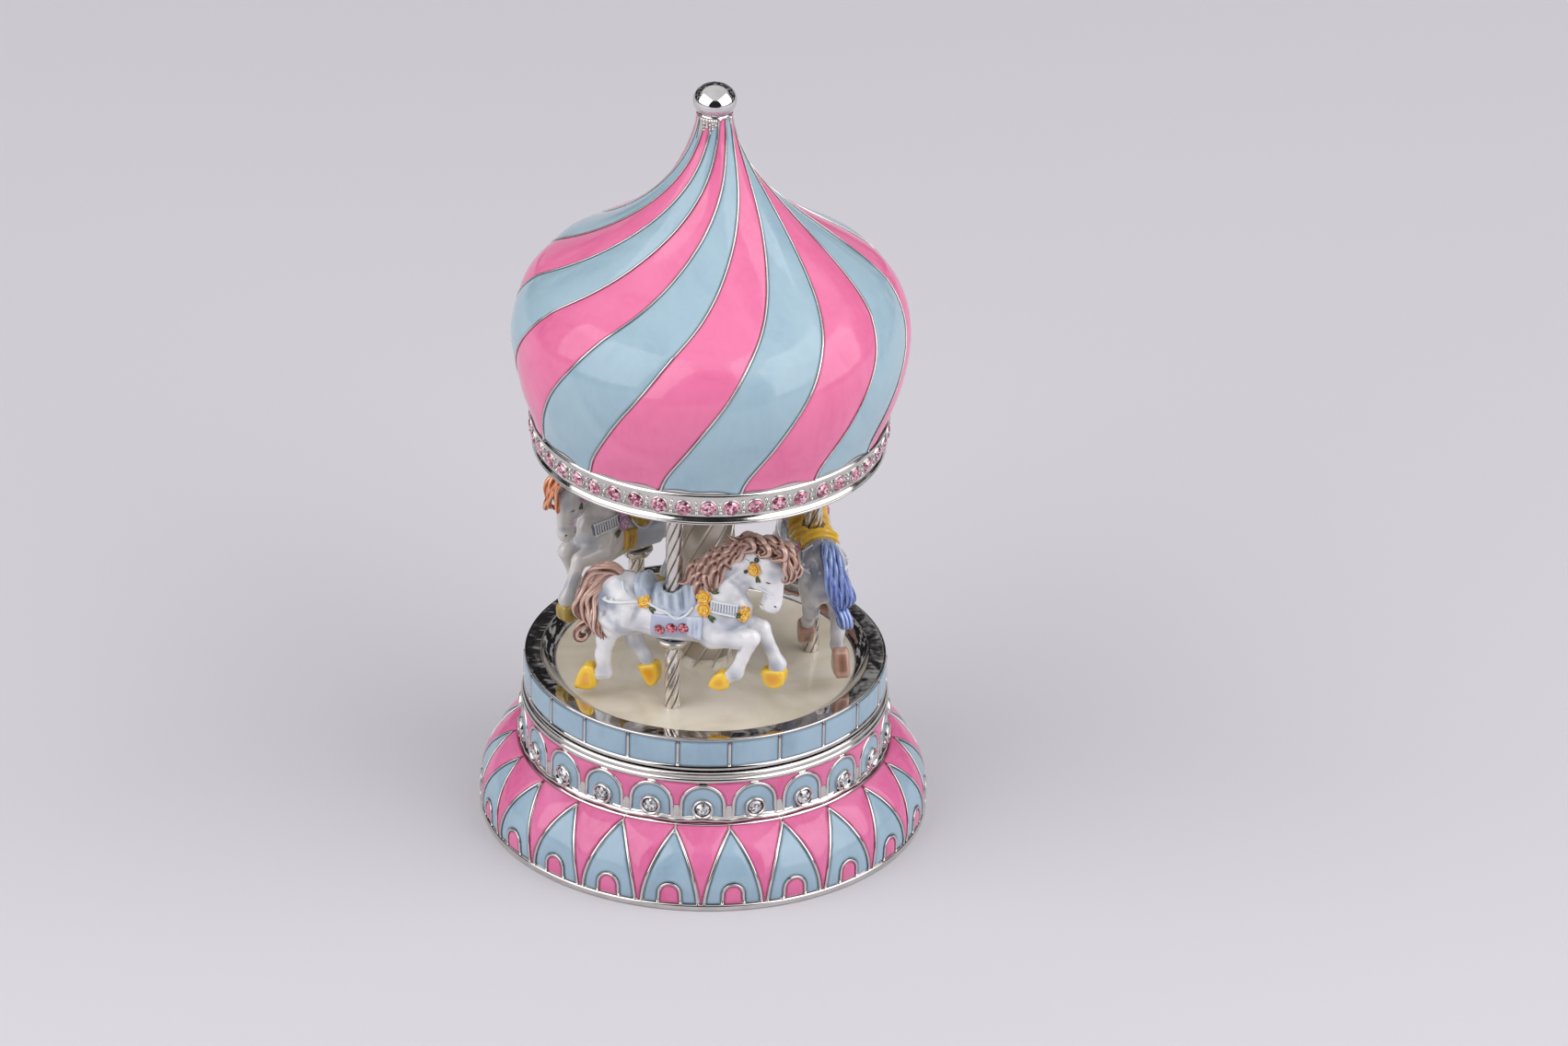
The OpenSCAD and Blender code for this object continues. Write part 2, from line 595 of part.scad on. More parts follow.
// Stone-set silver band under the dome, with a bead along its lower edge.
module dome_rim() color("silver") difference() {
  rotate_extrude() polygon(concat(
    [[rim_r - band_wall, rim_z]],
    arc([rim_r - 0.75, rim_z + 0.75], 0.75, -90, 75, 8),
    [[rim_r - 0.15, rim_z + 1.75], [rim_r + 0.3, band_top], [rim_r - band_wall, band_top],
     [rim_r - band_wall, ledge_z + ledge_t], [rim_r - band_wall - ledge_w, ledge_z + ledge_t],
     [rim_r - band_wall - ledge_w, ledge_z], [rim_r - band_wall, ledge_z]]));
  around(rim_stones) translate([rim_r + rim_stone_in, 0, rim_stone_z]) rotate([0, 90, 0])
    translate([0, 0, -stone_depth * rim_stone_d - 0.06])
      cylinder(h = 2, r = rim_stone_d / 2 + 0.02, $fn = 32);
  around(3, 30) translate([ceiling_screw_r, 0, ceiling_z]) cylinder(h = 3.3, d = 1.46, $fn = 32);
}

module rim_crystals() color("pink")
  around(rim_stones) translate([rim_r + rim_stone_in, 0, rim_stone_z]) stone(rim_stone_d);

// Hollow onion dome of fourteen spiral stripes, drawn in below its pointed neck.
module dome_shell() color("lightpink") difference() {
  rotate_extrude() polygon(concat([[0, band_top]], dome_outline, [[0, neck_z]]));
  rotate_extrude() polygon(concat(
    [[0, band_top - 1]],
    [for (p = concat([[dome_outline[0][0], band_top - 1]],
                     [for (q = dome_outline) if (q[1] < neck_z - 14) q])) p - [dome_wall, 0]],
    [[0, neck_z - 14]]));
  translate([0, 0, neck_z - 4]) cylinder(h = 6, r = 1.2, $fn = 48);
}

// Ball finial on its short seat, with the stud that holds it in the neck.
module finial_ball() color("silver") {
  translate([0, 0, neck_z - 3.9]) cylinder(h = 6, r = 1.2, $fn = 48);
  translate([0, 0, neck_z]) cylinder(h = ball_z - neck_z, r1 = 2.7, r2 = 1.5);
  translate([0, 0, ball_z]) rotate_extrude() polygon(concat([[0, -ball_h / 2]],
    [for (a = [-85:10:85]) [ball_d / 2 * cos(a), ball_h / 2 * sin(a)]], [[0, ball_h / 2]]));
}

base_casting();
arcade_crystals();
bottom_plate();
bottom_plate_screws();
movement_bedplate();
movement_screws();
comb();
comb_screws();
click_spring();
governor_bracket();
governor_bracket_screws();
winding_key();
winding_arbor();
ratchet_wheel();
spring_barrel();
barrel_cover();
mainspring();
drive_hub();
music_cylinder();
cylinder_arbor();
governor_wheel();
governor_fly();
turntable_drum();
platform_disc();
centre_column();
tie_rod();
tie_rod_nut();
ceiling_plate();
ceiling_screws();
dome_rim();
rim_crystals();
dome_shell();
finial_ball();
pole(0);  // pole_front
pole(1);  // pole_right
pole(2);  // pole_left
horse_front();
horse_right();
horse_left();
belly_caps();
saddle_crystals();
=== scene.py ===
"""Looks of the carousel music box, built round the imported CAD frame.

Lengths are in millimetres until mesh() turns them into metres.
"""

import math

import bpy
import numpy as np
from mathutils import Matrix, Vector
from mathutils.geometry import delaunay_2d_cdt


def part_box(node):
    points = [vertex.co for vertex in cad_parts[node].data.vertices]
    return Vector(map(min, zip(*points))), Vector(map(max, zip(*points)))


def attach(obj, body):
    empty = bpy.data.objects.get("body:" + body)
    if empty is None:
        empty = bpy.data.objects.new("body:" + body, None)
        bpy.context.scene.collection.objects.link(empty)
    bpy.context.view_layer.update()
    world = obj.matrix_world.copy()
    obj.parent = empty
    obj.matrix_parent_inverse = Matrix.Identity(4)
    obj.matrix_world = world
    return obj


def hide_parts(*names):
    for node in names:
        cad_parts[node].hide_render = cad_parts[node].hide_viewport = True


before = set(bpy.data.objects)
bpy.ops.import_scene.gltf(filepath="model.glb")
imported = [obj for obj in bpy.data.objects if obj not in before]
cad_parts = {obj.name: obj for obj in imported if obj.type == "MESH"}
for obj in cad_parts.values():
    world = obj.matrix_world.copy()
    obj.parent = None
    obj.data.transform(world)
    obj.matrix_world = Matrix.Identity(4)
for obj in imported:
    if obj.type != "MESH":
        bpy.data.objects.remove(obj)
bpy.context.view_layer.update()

MM = 0.001
UP = np.array([0, 0, 1.0])
ARCHES = 22
PITCH = 360 / ARCHES
RIM_STONES = 46
STRIPES = 14
SIDES = ("front", "right", "left")
rng = np.random.default_rng(7)


# ---------- sizes taken from the frame ----------

def node_box(node):
    low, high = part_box(node)
    return np.array(low) / MM, np.array(high) / MM


def pole_place(side):
    """Where a horse's pole stands."""
    low, high = node_box("pole_" + side)
    return (low[0] + high[0]) / 2, (low[1] + high[1]) / 2


BASE_R, _, BASE_TOP = node_box("base_casting")[1]
DRUM_LOW, DRUM_HIGH = node_box("turntable_drum")
DISC_LOW, DISC_HIGH = node_box("platform_disc")
RIM_LOW, RIM_HIGH = node_box("dome_rim")
BALL_LOW, BALL_HIGH = node_box("finial_ball")
COLUMN_LOW, COLUMN_HIGH = node_box("centre_column")
ARCADE_R = BASE_R - 7.5
DRUM_R = DRUM_HIGH[0]
DISC_R = DISC_HIGH[0]
DISC_TOP = DISC_HIGH[2]
COLUMN_R = (COLUMN_HIGH[0] - COLUMN_LOW[0]) / 2
RIM_R = RIM_HIGH[0] - 0.3
BAND_TOP = RIM_HIGH[2]
NECK_Z = node_box("dome_shell")[1][2]
NECK_R = 3.3
LIFTS = {side: node_box("horse_" + side)[0][2] - node_box("horse_front")[0][2] for side in SIDES}
CAP_Z = {side: node_box("belly_caps")[0][2] + LIFTS[side] for side in SIDES}


# ---------- mesh helpers ----------

def mesh(name, verts, faces, body, material, slot, replaces=(), smooth=True, values=None):
    """Makes a piece, rides it on a body, and gives it a material and a number a point; its slot is not used."""
    data = bpy.data.meshes.new(name)
    data.from_pydata((np.asarray(verts, float) * MM).tolist(), [], [list(map(int, f)) for f in faces])
    data.validate()
    data.polygons.foreach_set("use_smooth", [smooth] * len(data.polygons))
    for key, numbers in (values or {}).items():
        layer = data.attributes.new(key, "FLOAT", "POINT")
        layer.data.foreach_set("value", np.asarray(numbers, np.float32))
    data.materials.append(material)
    data.update()
    piece = bpy.data.objects.new(name, data)
    bpy.context.scene.collection.objects.link(piece)
    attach(piece, body)
    if replaces:
        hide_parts(*replaces)


class Parts:
    """Collects closed shapes, with a number for every point, into one mesh."""

    def __init__(self):
        self.verts, self.faces, self.numbers, self.count = [], [], [], 0

    def add(self, verts, faces, numbers=0.0):
        self.verts.append(np.asarray(verts, float))
        self.faces += [[i + self.count for i in f] for f in faces]
        self.numbers.append(np.broadcast_to(np.asarray(numbers, float), (len(verts),)))
        self.count += len(verts)

    def joined(self, side=None):
        """Points, faces and numbers, moved to where the horse on a side stands if one is named."""
        verts = np.concatenate(self.verts)
        return placed(verts, side) if side else verts, self.faces, np.concatenate(self.numbers)

    def mesh(self, name, body, material, slot, key=None, side=None, **options):
        verts, faces, numbers = self.joined(side)
        values = {key: numbers} if key else None
        mesh(name, verts, faces, body, material, slot, values=values, **options)


def grid_faces(rows, cols, wrap_rows=False, wrap_cols=False):
    """Quads of a grid whose points are stored row by row."""
    return [(i * cols + j, i * cols + (j + 1) % cols,
             (i + 1) % rows * cols + (j + 1) % cols, (i + 1) % rows * cols + j)
            for i in range(rows if wrap_rows else rows - 1)
            for j in range(cols if wrap_cols else cols - 1)]


def fanned_faces(rows, cols):
    """Rings joined to a tube and closed by fans to two points stored after them."""
    start, last = rows * cols, (rows - 1) * cols
    faces = grid_faces(rows, cols, False, True)
    faces += [(start, (j + 1) % cols, j) for j in range(cols)]
    return faces + [(start + 1, last + j, last + (j + 1) % cols) for j in range(cols)]


def full_turn(count):
    return np.linspace(0, 2 * np.pi, count, endpoint=False)


def unit_ball(tilts, cols):
    """Points and faces of a ball in rings at the given tilts in radians."""
    rings = [(math.cos(f) * math.cos(a), math.cos(f) * math.sin(a), math.sin(f))
             for f in tilts for a in full_turn(cols)]
    return np.array(rings + [(0, 0, -1), (0, 0, 1)]), fanned_faces(len(tilts), cols)


def revolve(profile, steps, wave=None):
    """Closed ring or solid from a closed outline of (radius, height) points, counter-clockwise."""
    profile = np.asarray(profile, float)
    verts = []
    for a in full_turn(steps):
        outline = profile if wave is None else wave(profile, a)
        verts.append(np.c_[outline[:, 0] * np.cos(a), outline[:, 0] * np.sin(a), outline[:, 1]])
    return np.concatenate(verts), grid_faces(steps, len(profile), True, True)


def arc(cx, cz, r, a0, a1, n):
    t = np.radians(np.linspace(a0, a1, n + 1))
    return np.c_[cx + r * np.cos(t), cz + r * np.sin(t)]


def bezier(a, b, c, d, n=60):
    t = np.linspace(0, 1, n + 1)[:, None]
    a, b, c, d = (np.array(p, float) for p in (a, b, c, d))
    return (1 - t) ** 3 * a + 3 * t * (1 - t) ** 2 * b + 3 * t * t * (1 - t) * c + t ** 3 * d


def outward(angle):
    """Level direction at an angle in degrees; 0 is the front (-Y), and it grows towards +X."""
    a = math.radians(angle - 90)
    return np.array([math.cos(a), math.sin(a), 0])


def unit(vectors):
    return vectors / (np.linalg.norm(vectors, axis=-1, keepdims=True) + 1e-9)


class Surface:
    """A surface of revolution addressed by angle in degrees and length s along its outline."""

    def __init__(self, outline):
        self.rz = np.asarray(outline, float)
        steps = np.hypot(*np.diff(self.rz, axis=0).T)
        self.s = np.concatenate([[0], np.cumsum(steps)])
        self.length = self.s[-1]
        tangent = np.gradient(self.rz, self.s, axis=0)
        tangent /= np.linalg.norm(tangent, axis=1)[:, None]
        self.normal_rz = np.c_[-tangent[:, 1], tangent[:, 0]]
        if self.normal_rz[len(self.rz) // 2, 0] < 0:
            self.normal_rz *= -1

    def radius(self, s):
        return np.interp(s, self.s, self.rz[:, 0])

    def normal(self, angle, s):
        a = np.radians(angle - 90)
        nr, nz = (np.interp(s, self.s, self.normal_rz[:, k]) for k in (0, 1))
        return np.c_[nr * np.cos(a), nr * np.sin(a), nz]

    def place(self, angle, s, height):
        """Points in space at a height over the surface."""
        a = np.radians(angle - 90)
        nr, nz = (np.interp(s, self.s, self.normal_rz[:, k]) for k in (0, 1))
        r = self.radius(s) + nr * height
        z = np.interp(s, self.s, self.rz[:, 1]) + nz * height
        return np.c_[r * np.cos(a), r * np.sin(a), z]


def resample(points, step, closed=False):
    """The same line in even steps."""
    points = np.asarray(points, float)
    if closed:
        points = np.vstack([points, points[:1]])
    d = np.concatenate([[0], np.cumsum(np.linalg.norm(np.diff(points, axis=0), axis=1))])
    t = np.linspace(0, d[-1], max(int(round(d[-1] / step)), 3) + 1)
    out = np.c_[np.interp(t, d, points[:, 0]), np.interp(t, d, points[:, 1])]
    return out[:-1] if closed else out


def wire(parts, surface, path, width, height, low=-0.25):
    """Raised rounded line along an open path of (angle, s) points on a surface."""
    p = surface.place(path[:, 0], path[:, 1], 0.0)
    normal = surface.normal(path[:, 0], path[:, 1])
    half = unit(np.cross(normal, np.gradient(p, axis=0))) * np.broadcast_to(width, (len(p),))[:, None] / 2
    ring = [p + half * math.cos(f) + normal * (height * math.sin(f) ** 0.8) for f in np.linspace(0, np.pi, 7)]
    ring += [p - half + normal * low, p + half + normal * low]
    cols, last = len(ring), (len(p) - 1) * len(ring)
    ends = [tuple(range(cols)), tuple(range(last + cols - 1, last - 1, -1))]
    parts.add(np.stack(ring, 1).reshape(-1, 3), grid_faces(len(p), cols, False, True) + ends)


def distance_to(points, line):
    """Distance of 2-D points from a closed outline."""
    ab = np.roll(line, -1, 0) - line
    ap = points[:, None] - line[None]
    t = np.clip((ap * ab).sum(-1) / np.maximum((ab * ab).sum(-1), 1e-12), 0, 1)
    return np.linalg.norm(ap - t[..., None] * ab, axis=-1).min(1)


def inside(points, line):
    a, b = line, np.roll(line, -1, 0)
    x, y = points[:, 0:1], points[:, 1:2]
    spans = (a[:, 1] > y) != (b[:, 1] > y)
    crossing = (b[:, 0] - a[:, 0]) * (y - a[:, 1]) / (b[:, 1] - a[:, 1] + 1e-12) + a[:, 0]
    return (np.sum(spans & (x < crossing), 1) % 2) == 1


def signed_distance(points, line):
    return distance_to(points, line) * np.where(inside(points, line), -1, 1)


PAD_STEP = 0.42


def field(parts, surface, outline, centre, edge, puff, reach, low=-0.5):
    """Closed pillow of enamel inside an outline of (arc millimetres, s) points round an angle.

    It stands at edge along its outline and rises by puff within about reach.
    """
    outline = resample(outline, PAD_STEP * 0.8, closed=True)
    lo, hi = outline.min(0), outline.max(0)
    xs = np.arange(lo[0], hi[0], PAD_STEP)
    ys = np.arange(lo[1], hi[1], PAD_STEP * 0.87)
    dots = np.array([(x + (j % 2) * PAD_STEP / 2, y) for j, y in enumerate(ys) for x in xs])
    dots = dots[inside(dots, outline)]
    dots = dots[distance_to(dots, outline) > PAD_STEP * 0.5]
    corners = [Vector(p) for p in np.vstack([outline, dots])]
    flat, _, faces = delaunay_2d_cdt(corners, [], [list(range(len(outline)))], 1, 1e-6)[:3]
    flat, faces = np.array([tuple(v) for v in flat]), [tuple(f) for f in faces]
    depth = distance_to(flat, outline)
    angle = centre + np.degrees(flat[:, 0] / surface.radius((lo[1] + hi[1]) / 2))
    top = surface.place(angle, flat[:, 1], edge + puff * (1 - np.exp(-depth / reach)))
    bottom = surface.place(angle, flat[:, 1], low)
    count = len(flat)
    edges = dict.fromkeys(e for a, b, c in faces for e in ((a, b), (b, c), (c, a)))
    walls = [(b, a, a + count, b + count) for a, b in edges if (b, a) not in edges]
    under = [(c + count, b + count, a + count) for a, b, c in faces]
    parts.add(np.vstack([top, bottom]), faces + under + walls, np.concatenate([depth, depth]))


# ---------- materials ----------

def add_node(tree, kind, inputs=(), **values):
    """New node: inputs pairs a socket with a number or another node's output, values are properties."""
    node = tree.nodes.new(kind)
    for key, value in values.items():
        setattr(node, key, value)
    for key, value in inputs:
        if isinstance(value, bpy.types.NodeSocket):
            tree.links.new(value, node.inputs[key])
        else:
            node.inputs[key].default_value = value
    return node


def srgb(color):
    """Linear colour from 0-255 display values."""
    return tuple(c / 12.92 if c <= 0.04045 else ((c + 0.055) / 1.055) ** 2.4
                 for c in (v / 255 for v in color)) + (1,)


class Recipe:
    """Writes one procedural material on the object's own coordinates."""

    def __init__(self, name, **settings):
        self.material = bpy.data.materials.new(name)
        self.material.use_nodes = True
        self.tree = self.material.node_tree
        self.shader = self.tree.nodes["Principled BSDF"]
        for key, value in settings.items():
            self.shader.inputs[key.replace("_", " ")].default_value = value
        self.coordinates = self.new("ShaderNodeTexCoord").outputs["Object"]

    def new(self, kind, inputs=(), **values):
        return add_node(self.tree, kind, inputs, **values)

    def noise(self, scale, detail=3.0, distortion=0.0, stretch=None, offset=0.0):
        source = self.coordinates
        if stretch or offset:
            source = self.new("ShaderNodeMapping", [("Vector", source), ("Scale", stretch or (1, 1, 1)),
                                                    ("Location", (offset,) * 3)]).outputs["Vector"]
        return self.new("ShaderNodeTexNoise", [("Vector", source), ("Scale", scale), ("Detail", detail),
                                               ("Distortion", distortion)]).outputs["Fac"]

    def ramp(self, fac, *stops):
        node = self.new("ShaderNodeValToRGB", [("Fac", fac)])
        elements = node.color_ramp.elements
        while len(elements) < len(stops):
            elements.new(0.5)
        for element, (position, color) in zip(elements, stops):
            element.position, element.color = position, color
        return node.outputs["Color"]

    def mix(self, fac, a, b):
        return self.new("ShaderNodeMix", [(0, fac), (6, a), (7, b)], data_type="RGBA").outputs[2]

    def range(self, value, *span):
        """Maps from the first two numbers to the last two."""
        return self.new("ShaderNodeMapRange", list(enumerate((value, *span)))).outputs[0]

    def attribute(self, name):
        return self.new("ShaderNodeAttribute", attribute_name=name).outputs["Fac"]

    def color(self, output):
        self.tree.links.new(output, self.shader.inputs["Base Color"])

    def rough(self, fac, *span):
        self.tree.links.new(self.range(fac, *span), self.shader.inputs["Roughness"])

    def bump(self, scale, detail, strength, distance):
        height = self.noise(scale, detail)
        node = self.new("ShaderNodeBump", [("Height", height), ("Strength", strength), ("Distance", distance)])
        self.tree.links.new(node.outputs["Normal"], self.shader.inputs["Normal"])


GLAZE_IOR = 1.5


def enamel(name, light, deep, edge):
    """Fired enamel: glossy, with brushed milky clouds, and painted shade that darkens it towards its edge colour
    along the metal lines.
    """
    light, deep, edge = map(srgb, (light, deep, edge))
    m = Recipe(name, Roughness=0.1, IOR=GLAZE_IOR)
    clouds = m.noise(60, 4, 1.5)
    streaks = m.noise(260, 5, 2.5, stretch=(1, 1, 0.35))
    base = m.ramp(clouds, (0.3, deep), (0.7, light))
    base = m.mix(m.range(streaks, 0.35, 0.75, 0.0, 0.5), base, light)
    # painted shade: within 0.45 mm of the enamel's outline the colour darkens towards the edge colour
    near = m.range(m.attribute("depth"), 0.0, 0.45, 1.0, 0.0)
    m.color(m.mix(near, base, edge))
    m.rough(clouds, 0.3, 0.7, 0.07, 0.14)
    m.bump(900, 2, 0.08, 0.0002)
    return m.material


def polished(name, tint, rough, bump=0.15, bump_scale=500):
    """Plated metal with hazy patches and slight casting ripples."""
    m = Recipe(name, Metallic=1.0, Roughness=rough)
    haze = m.noise(300, 4, 0.5)
    m.color(m.ramp(haze, (0.3, (*(c * 0.82 for c in tint), 1)), (0.7, (*tint, 1))))
    m.rough(haze, 0.25, 0.75, rough * 0.6, rough * 1.7)
    m.bump(bump_scale, 3, bump, 0.0003)
    return m.material


def grooved_metal(name, bright, dark, rough, metal=0.95, wear=0.35):
    """Plated metal with random darker haze, darkened by its shade attribute as painted shade in the grooves."""
    m = Recipe(name, Metallic=metal, Roughness=rough)
    haze = m.noise(260, 4, 0.6)
    tone = m.mix(m.range(haze, 0.35, 0.7, 0.0, wear), bright, dark)
    # painted shade: the shade attribute mixes the colour towards dark
    m.color(m.mix(m.range(m.attribute("shade"), 0.25, 0.8, 0.0, 0.9), tone, dark))
    m.rough(haze, 0.3, 0.7, rough * 0.7, rough * 1.4)
    m.bump(500, 2, 0.04, 0.0003)
    return m.material


def cream():
    """Milky translucent platform with faint cloudy veins."""
    m = Recipe("cream_platform", Roughness=0.12, IOR=GLAZE_IOR, Subsurface_Weight=0.25,
               Subsurface_Scale=0.002, Subsurface_Radius=(1.0, 0.9, 0.6))
    veins = zip((0.3, 0.55, 0.8), map(srgb, ((207, 197, 176), (223, 214, 198), (232, 225, 213))))
    m.color(m.ramp(m.noise(45, 5, 3.0), *veins))
    m.rough(m.noise(300, 3), 0.3, 0.7, 0.08, 0.2)
    return m.material


def gem(name, *tones):
    """Foil-backed cut stone: each facet gets a painted tone, from painted shade to a painted glint, standing for
    what it reflects.
    """
    m = Recipe(name, Roughness=0.05, Metallic=0.35, IOR=1.6, Coat_Weight=1.0, Coat_Roughness=0.02)
    m.color(m.ramp(m.attribute("facet"), *zip((0.1, 0.45, 0.85), map(srgb, tones))))
    m.rough(m.noise(2500, 2), 0.3, 0.7, 0.03, 0.1)
    return m.material


def painted(name, low, high, rough=0.22, span=(0.15, 0.9)):
    """Enamel paint over ribbed metal: lighter on the crests and darker in the grooves, which is painted shade.
    """
    low, high = srgb(low), srgb(high)
    m = Recipe(name, Roughness=rough, IOR=GLAZE_IOR, Coat_Weight=0.5, Coat_Roughness=0.05)
    tone = m.ramp(m.attribute("shade"), (span[0], low), (span[1], high))
    mottled = m.noise(300, 4, 1.0)
    m.color(m.mix(m.range(mottled, 0.35, 0.8, 0.0, 0.25), tone, low))
    m.rough(mottled, 0.3, 0.7, rough * 0.6, rough * 1.5)
    m.bump(1100, 2, 0.08, 0.0002)
    return m.material


def hair_paint(name, low, middle, high):
    """Brushed paint over ribbed locks: pale on the crests, partly metal rubbed through and partly painted
    highlight, and dark in the grooves as painted shade.
    """
    low, middle, high = map(srgb, (low, middle, high))
    m = Recipe(name, Roughness=0.22, Metallic=0.3, IOR=GLAZE_IOR, Coat_Weight=0.6, Coat_Roughness=0.05)
    # painted shade in the grooves, and painted highlight with rubbed metal on the crests
    tone = m.ramp(m.attribute("shade"), (0.2, low), (0.6, middle), (0.97, high))
    mottled = m.noise(420, 4, 1.0)
    m.color(m.mix(m.range(mottled, 0.35, 0.75, 0.0, 0.5), tone, middle))
    m.rough(mottled, 0.3, 0.7, 0.14, 0.34)
    m.bump(1100, 2, 0.08, 0.0002)
    return m.material


def white_enamel(name, light, shadow, warm):
    """Glossy white with blue-grey painted shade in its hollows, random blue-grey patches and faint warm clouds.
    """
    light, shadow, warm = map(srgb, (light, shadow, warm))
    m = Recipe(name, Roughness=0.13, IOR=GLAZE_IOR, Coat_Weight=0.8, Coat_Roughness=0.03)
    # painted shade: the hollow measure turns the white blue-grey
    recess_shade = m.range(m.attribute("hollow"), 0.0005, 0.016, 0.0, 0.9)
    clouds = m.noise(140, 4, 1.5)
    base = m.mix(m.range(clouds, 0.45, 0.75, 0.0, 0.5), light, warm)
    patch = m.range(m.noise(95, 3, 0.8, offset=0.013), 0.56, 0.68, 0.0, 0.75)
    m.color(m.mix(recess_shade, m.mix(patch, base, shadow), shadow))
    m.rough(clouds, 0.3, 0.7, 0.1, 0.2)
    m.bump(450, 3, 0.12, 0.0004)
    return m.material


# enamel colours: light and deep clouds, then the painted-shade colour at the edges
PINK = enamel("pink_enamel", (228, 121, 168), (211, 95, 144), (181, 77, 119))
DOME_PINK = enamel("dome_pink_enamel", (242, 129, 173), (230, 110, 156), (168, 80, 113))
BLUE = enamel("blue_enamel", (161, 187, 204), (142, 167, 185), (96, 121, 141))
DOME_BLUE = enamel("dome_blue_enamel", (168, 195, 208), (152, 180, 196), (102, 127, 145))
NICKEL = polished("nickel", (0.75, 0.725, 0.695), 0.09, 0.06, 350)
MIRROR = polished("polished_ring", (0.66, 0.63, 0.61), 0.04, 0.45, 110)
BALL_METAL = polished("finial_nickel", (0.80, 0.78, 0.77), 0.03, 0.02)
STEEL = polished("movement_steel", (0.55, 0.56, 0.58), 0.28)
ZINC = polished("movement_zinc", (0.5, 0.5, 0.5), 0.4)
BRASS = polished("movement_brass", (0.80, 0.60, 0.27), 0.25)
ROD_METAL = grooved_metal("twisted_rod_metal", (0.82, 0.77, 0.72, 1), (0.17, 0.15, 0.13, 1), 0.17)
COLUMN_METAL = grooved_metal("column_metal", (0.58, 0.52, 0.45, 1), (0.13, 0.10, 0.07, 1), 0.36, 0.75, 0.15)
CREAM = cream()
# stone colours: painted shade, mid tone and painted glint for the facets
PINK_STONE = gem("pink_stone", (92, 30, 50), (196, 96, 128), (248, 206, 222))
CLEAR_STONE = gem("clear_stone", (50, 50, 54), (186, 186, 190), (253, 253, 254))
RED_STONE = gem("red_stone", (96, 14, 30), (196, 56, 78), (244, 160, 174))
GREEN = painted("leaf_green", (62, 76, 24), (142, 156, 74), span=(0.0, 0.6))
INK = painted("dark_enamel", (40, 42, 48), (62, 64, 72))
PEARL = painted("pearl_white", (225, 222, 222), (245, 243, 243), 0.15)

# name and display colours of each horse's paints, in the order that the paint's recipe takes them
ROSE_SPAN = (0.1, 0.62)
HORSE_COLORS = {
    "front": dict(body=("horse_white", (238, 237, 240), (118, 132, 154), (222, 218, 218)),
                  hair=("mane_brown", (60, 34, 28), (160, 114, 98), (220, 188, 174)),
                  saddle=("saddle_grey_blue", (98, 112, 136), (186, 197, 212)),
                  blanket=("blanket_lilac", (118, 126, 162), (184, 190, 212)),
                  breast=("breast_band", (92, 106, 130), (128, 142, 164)),
                  fringe=("fringe_blue", (120, 140, 180), (205, 213, 228)),
                  roses=("rose_yellow", (206, 108, 10), (253, 214, 88), 0.22, ROSE_SPAN),
                  hooves=("hoof_yellow", (234, 152, 30), (248, 206, 58), 0.18),
                  trim=("trim_white", (205, 210, 220), (240, 241, 244), 0.15)),
    "right": dict(body=("horse_white", (208, 208, 212), (130, 138, 158), (196, 192, 192)),
                  hair=("tail_blue", (36, 48, 118), (98, 124, 198), (168, 188, 230)),
                  saddle=("saddle_yellow", (190, 130, 25), (232, 186, 50)),
                  blanket=("blanket_blue", (110, 130, 180), (176, 190, 220)),
                  breast=("breast_band", (110, 120, 150), (160, 170, 190)),
                  fringe=("fringe_blue", (120, 140, 180), (205, 213, 228)),
                  roses=("rose_pink", (170, 70, 110), (234, 160, 190), 0.22, ROSE_SPAN),
                  hooves=("hoof_brown", (112, 76, 62), (182, 140, 122)),
                  trim=("trim_white", (190, 195, 205), (228, 230, 235), 0.15)),
    "left": dict(body=("horse_white", (214, 210, 208), (150, 158, 172), (200, 194, 188)),
                 hair=("mane_orange", (140, 52, 14), (218, 124, 66), (238, 186, 150)),
                 saddle=("saddle_gold", (150, 110, 25), (200, 160, 50)),
                 blanket=("blanket_blue", (130, 145, 170), (186, 196, 212)),
                 breast=("breast_band", (60, 70, 78), (96, 106, 116)),
                 fringe=("fringe_gold", (150, 105, 20), (205, 160, 45)),
                 roses=("rose_lilac", (146, 92, 138), (228, 190, 220), 0.22, ROSE_SPAN),
                 hooves=("hoof_mustard", (110, 88, 28), (172, 146, 60)),
                 trim=("trim_white", (195, 198, 205), (228, 228, 232), 0.15)),
}
RECIPES = {"body": white_enamel, "hair": hair_paint}


# ---------- stones ----------

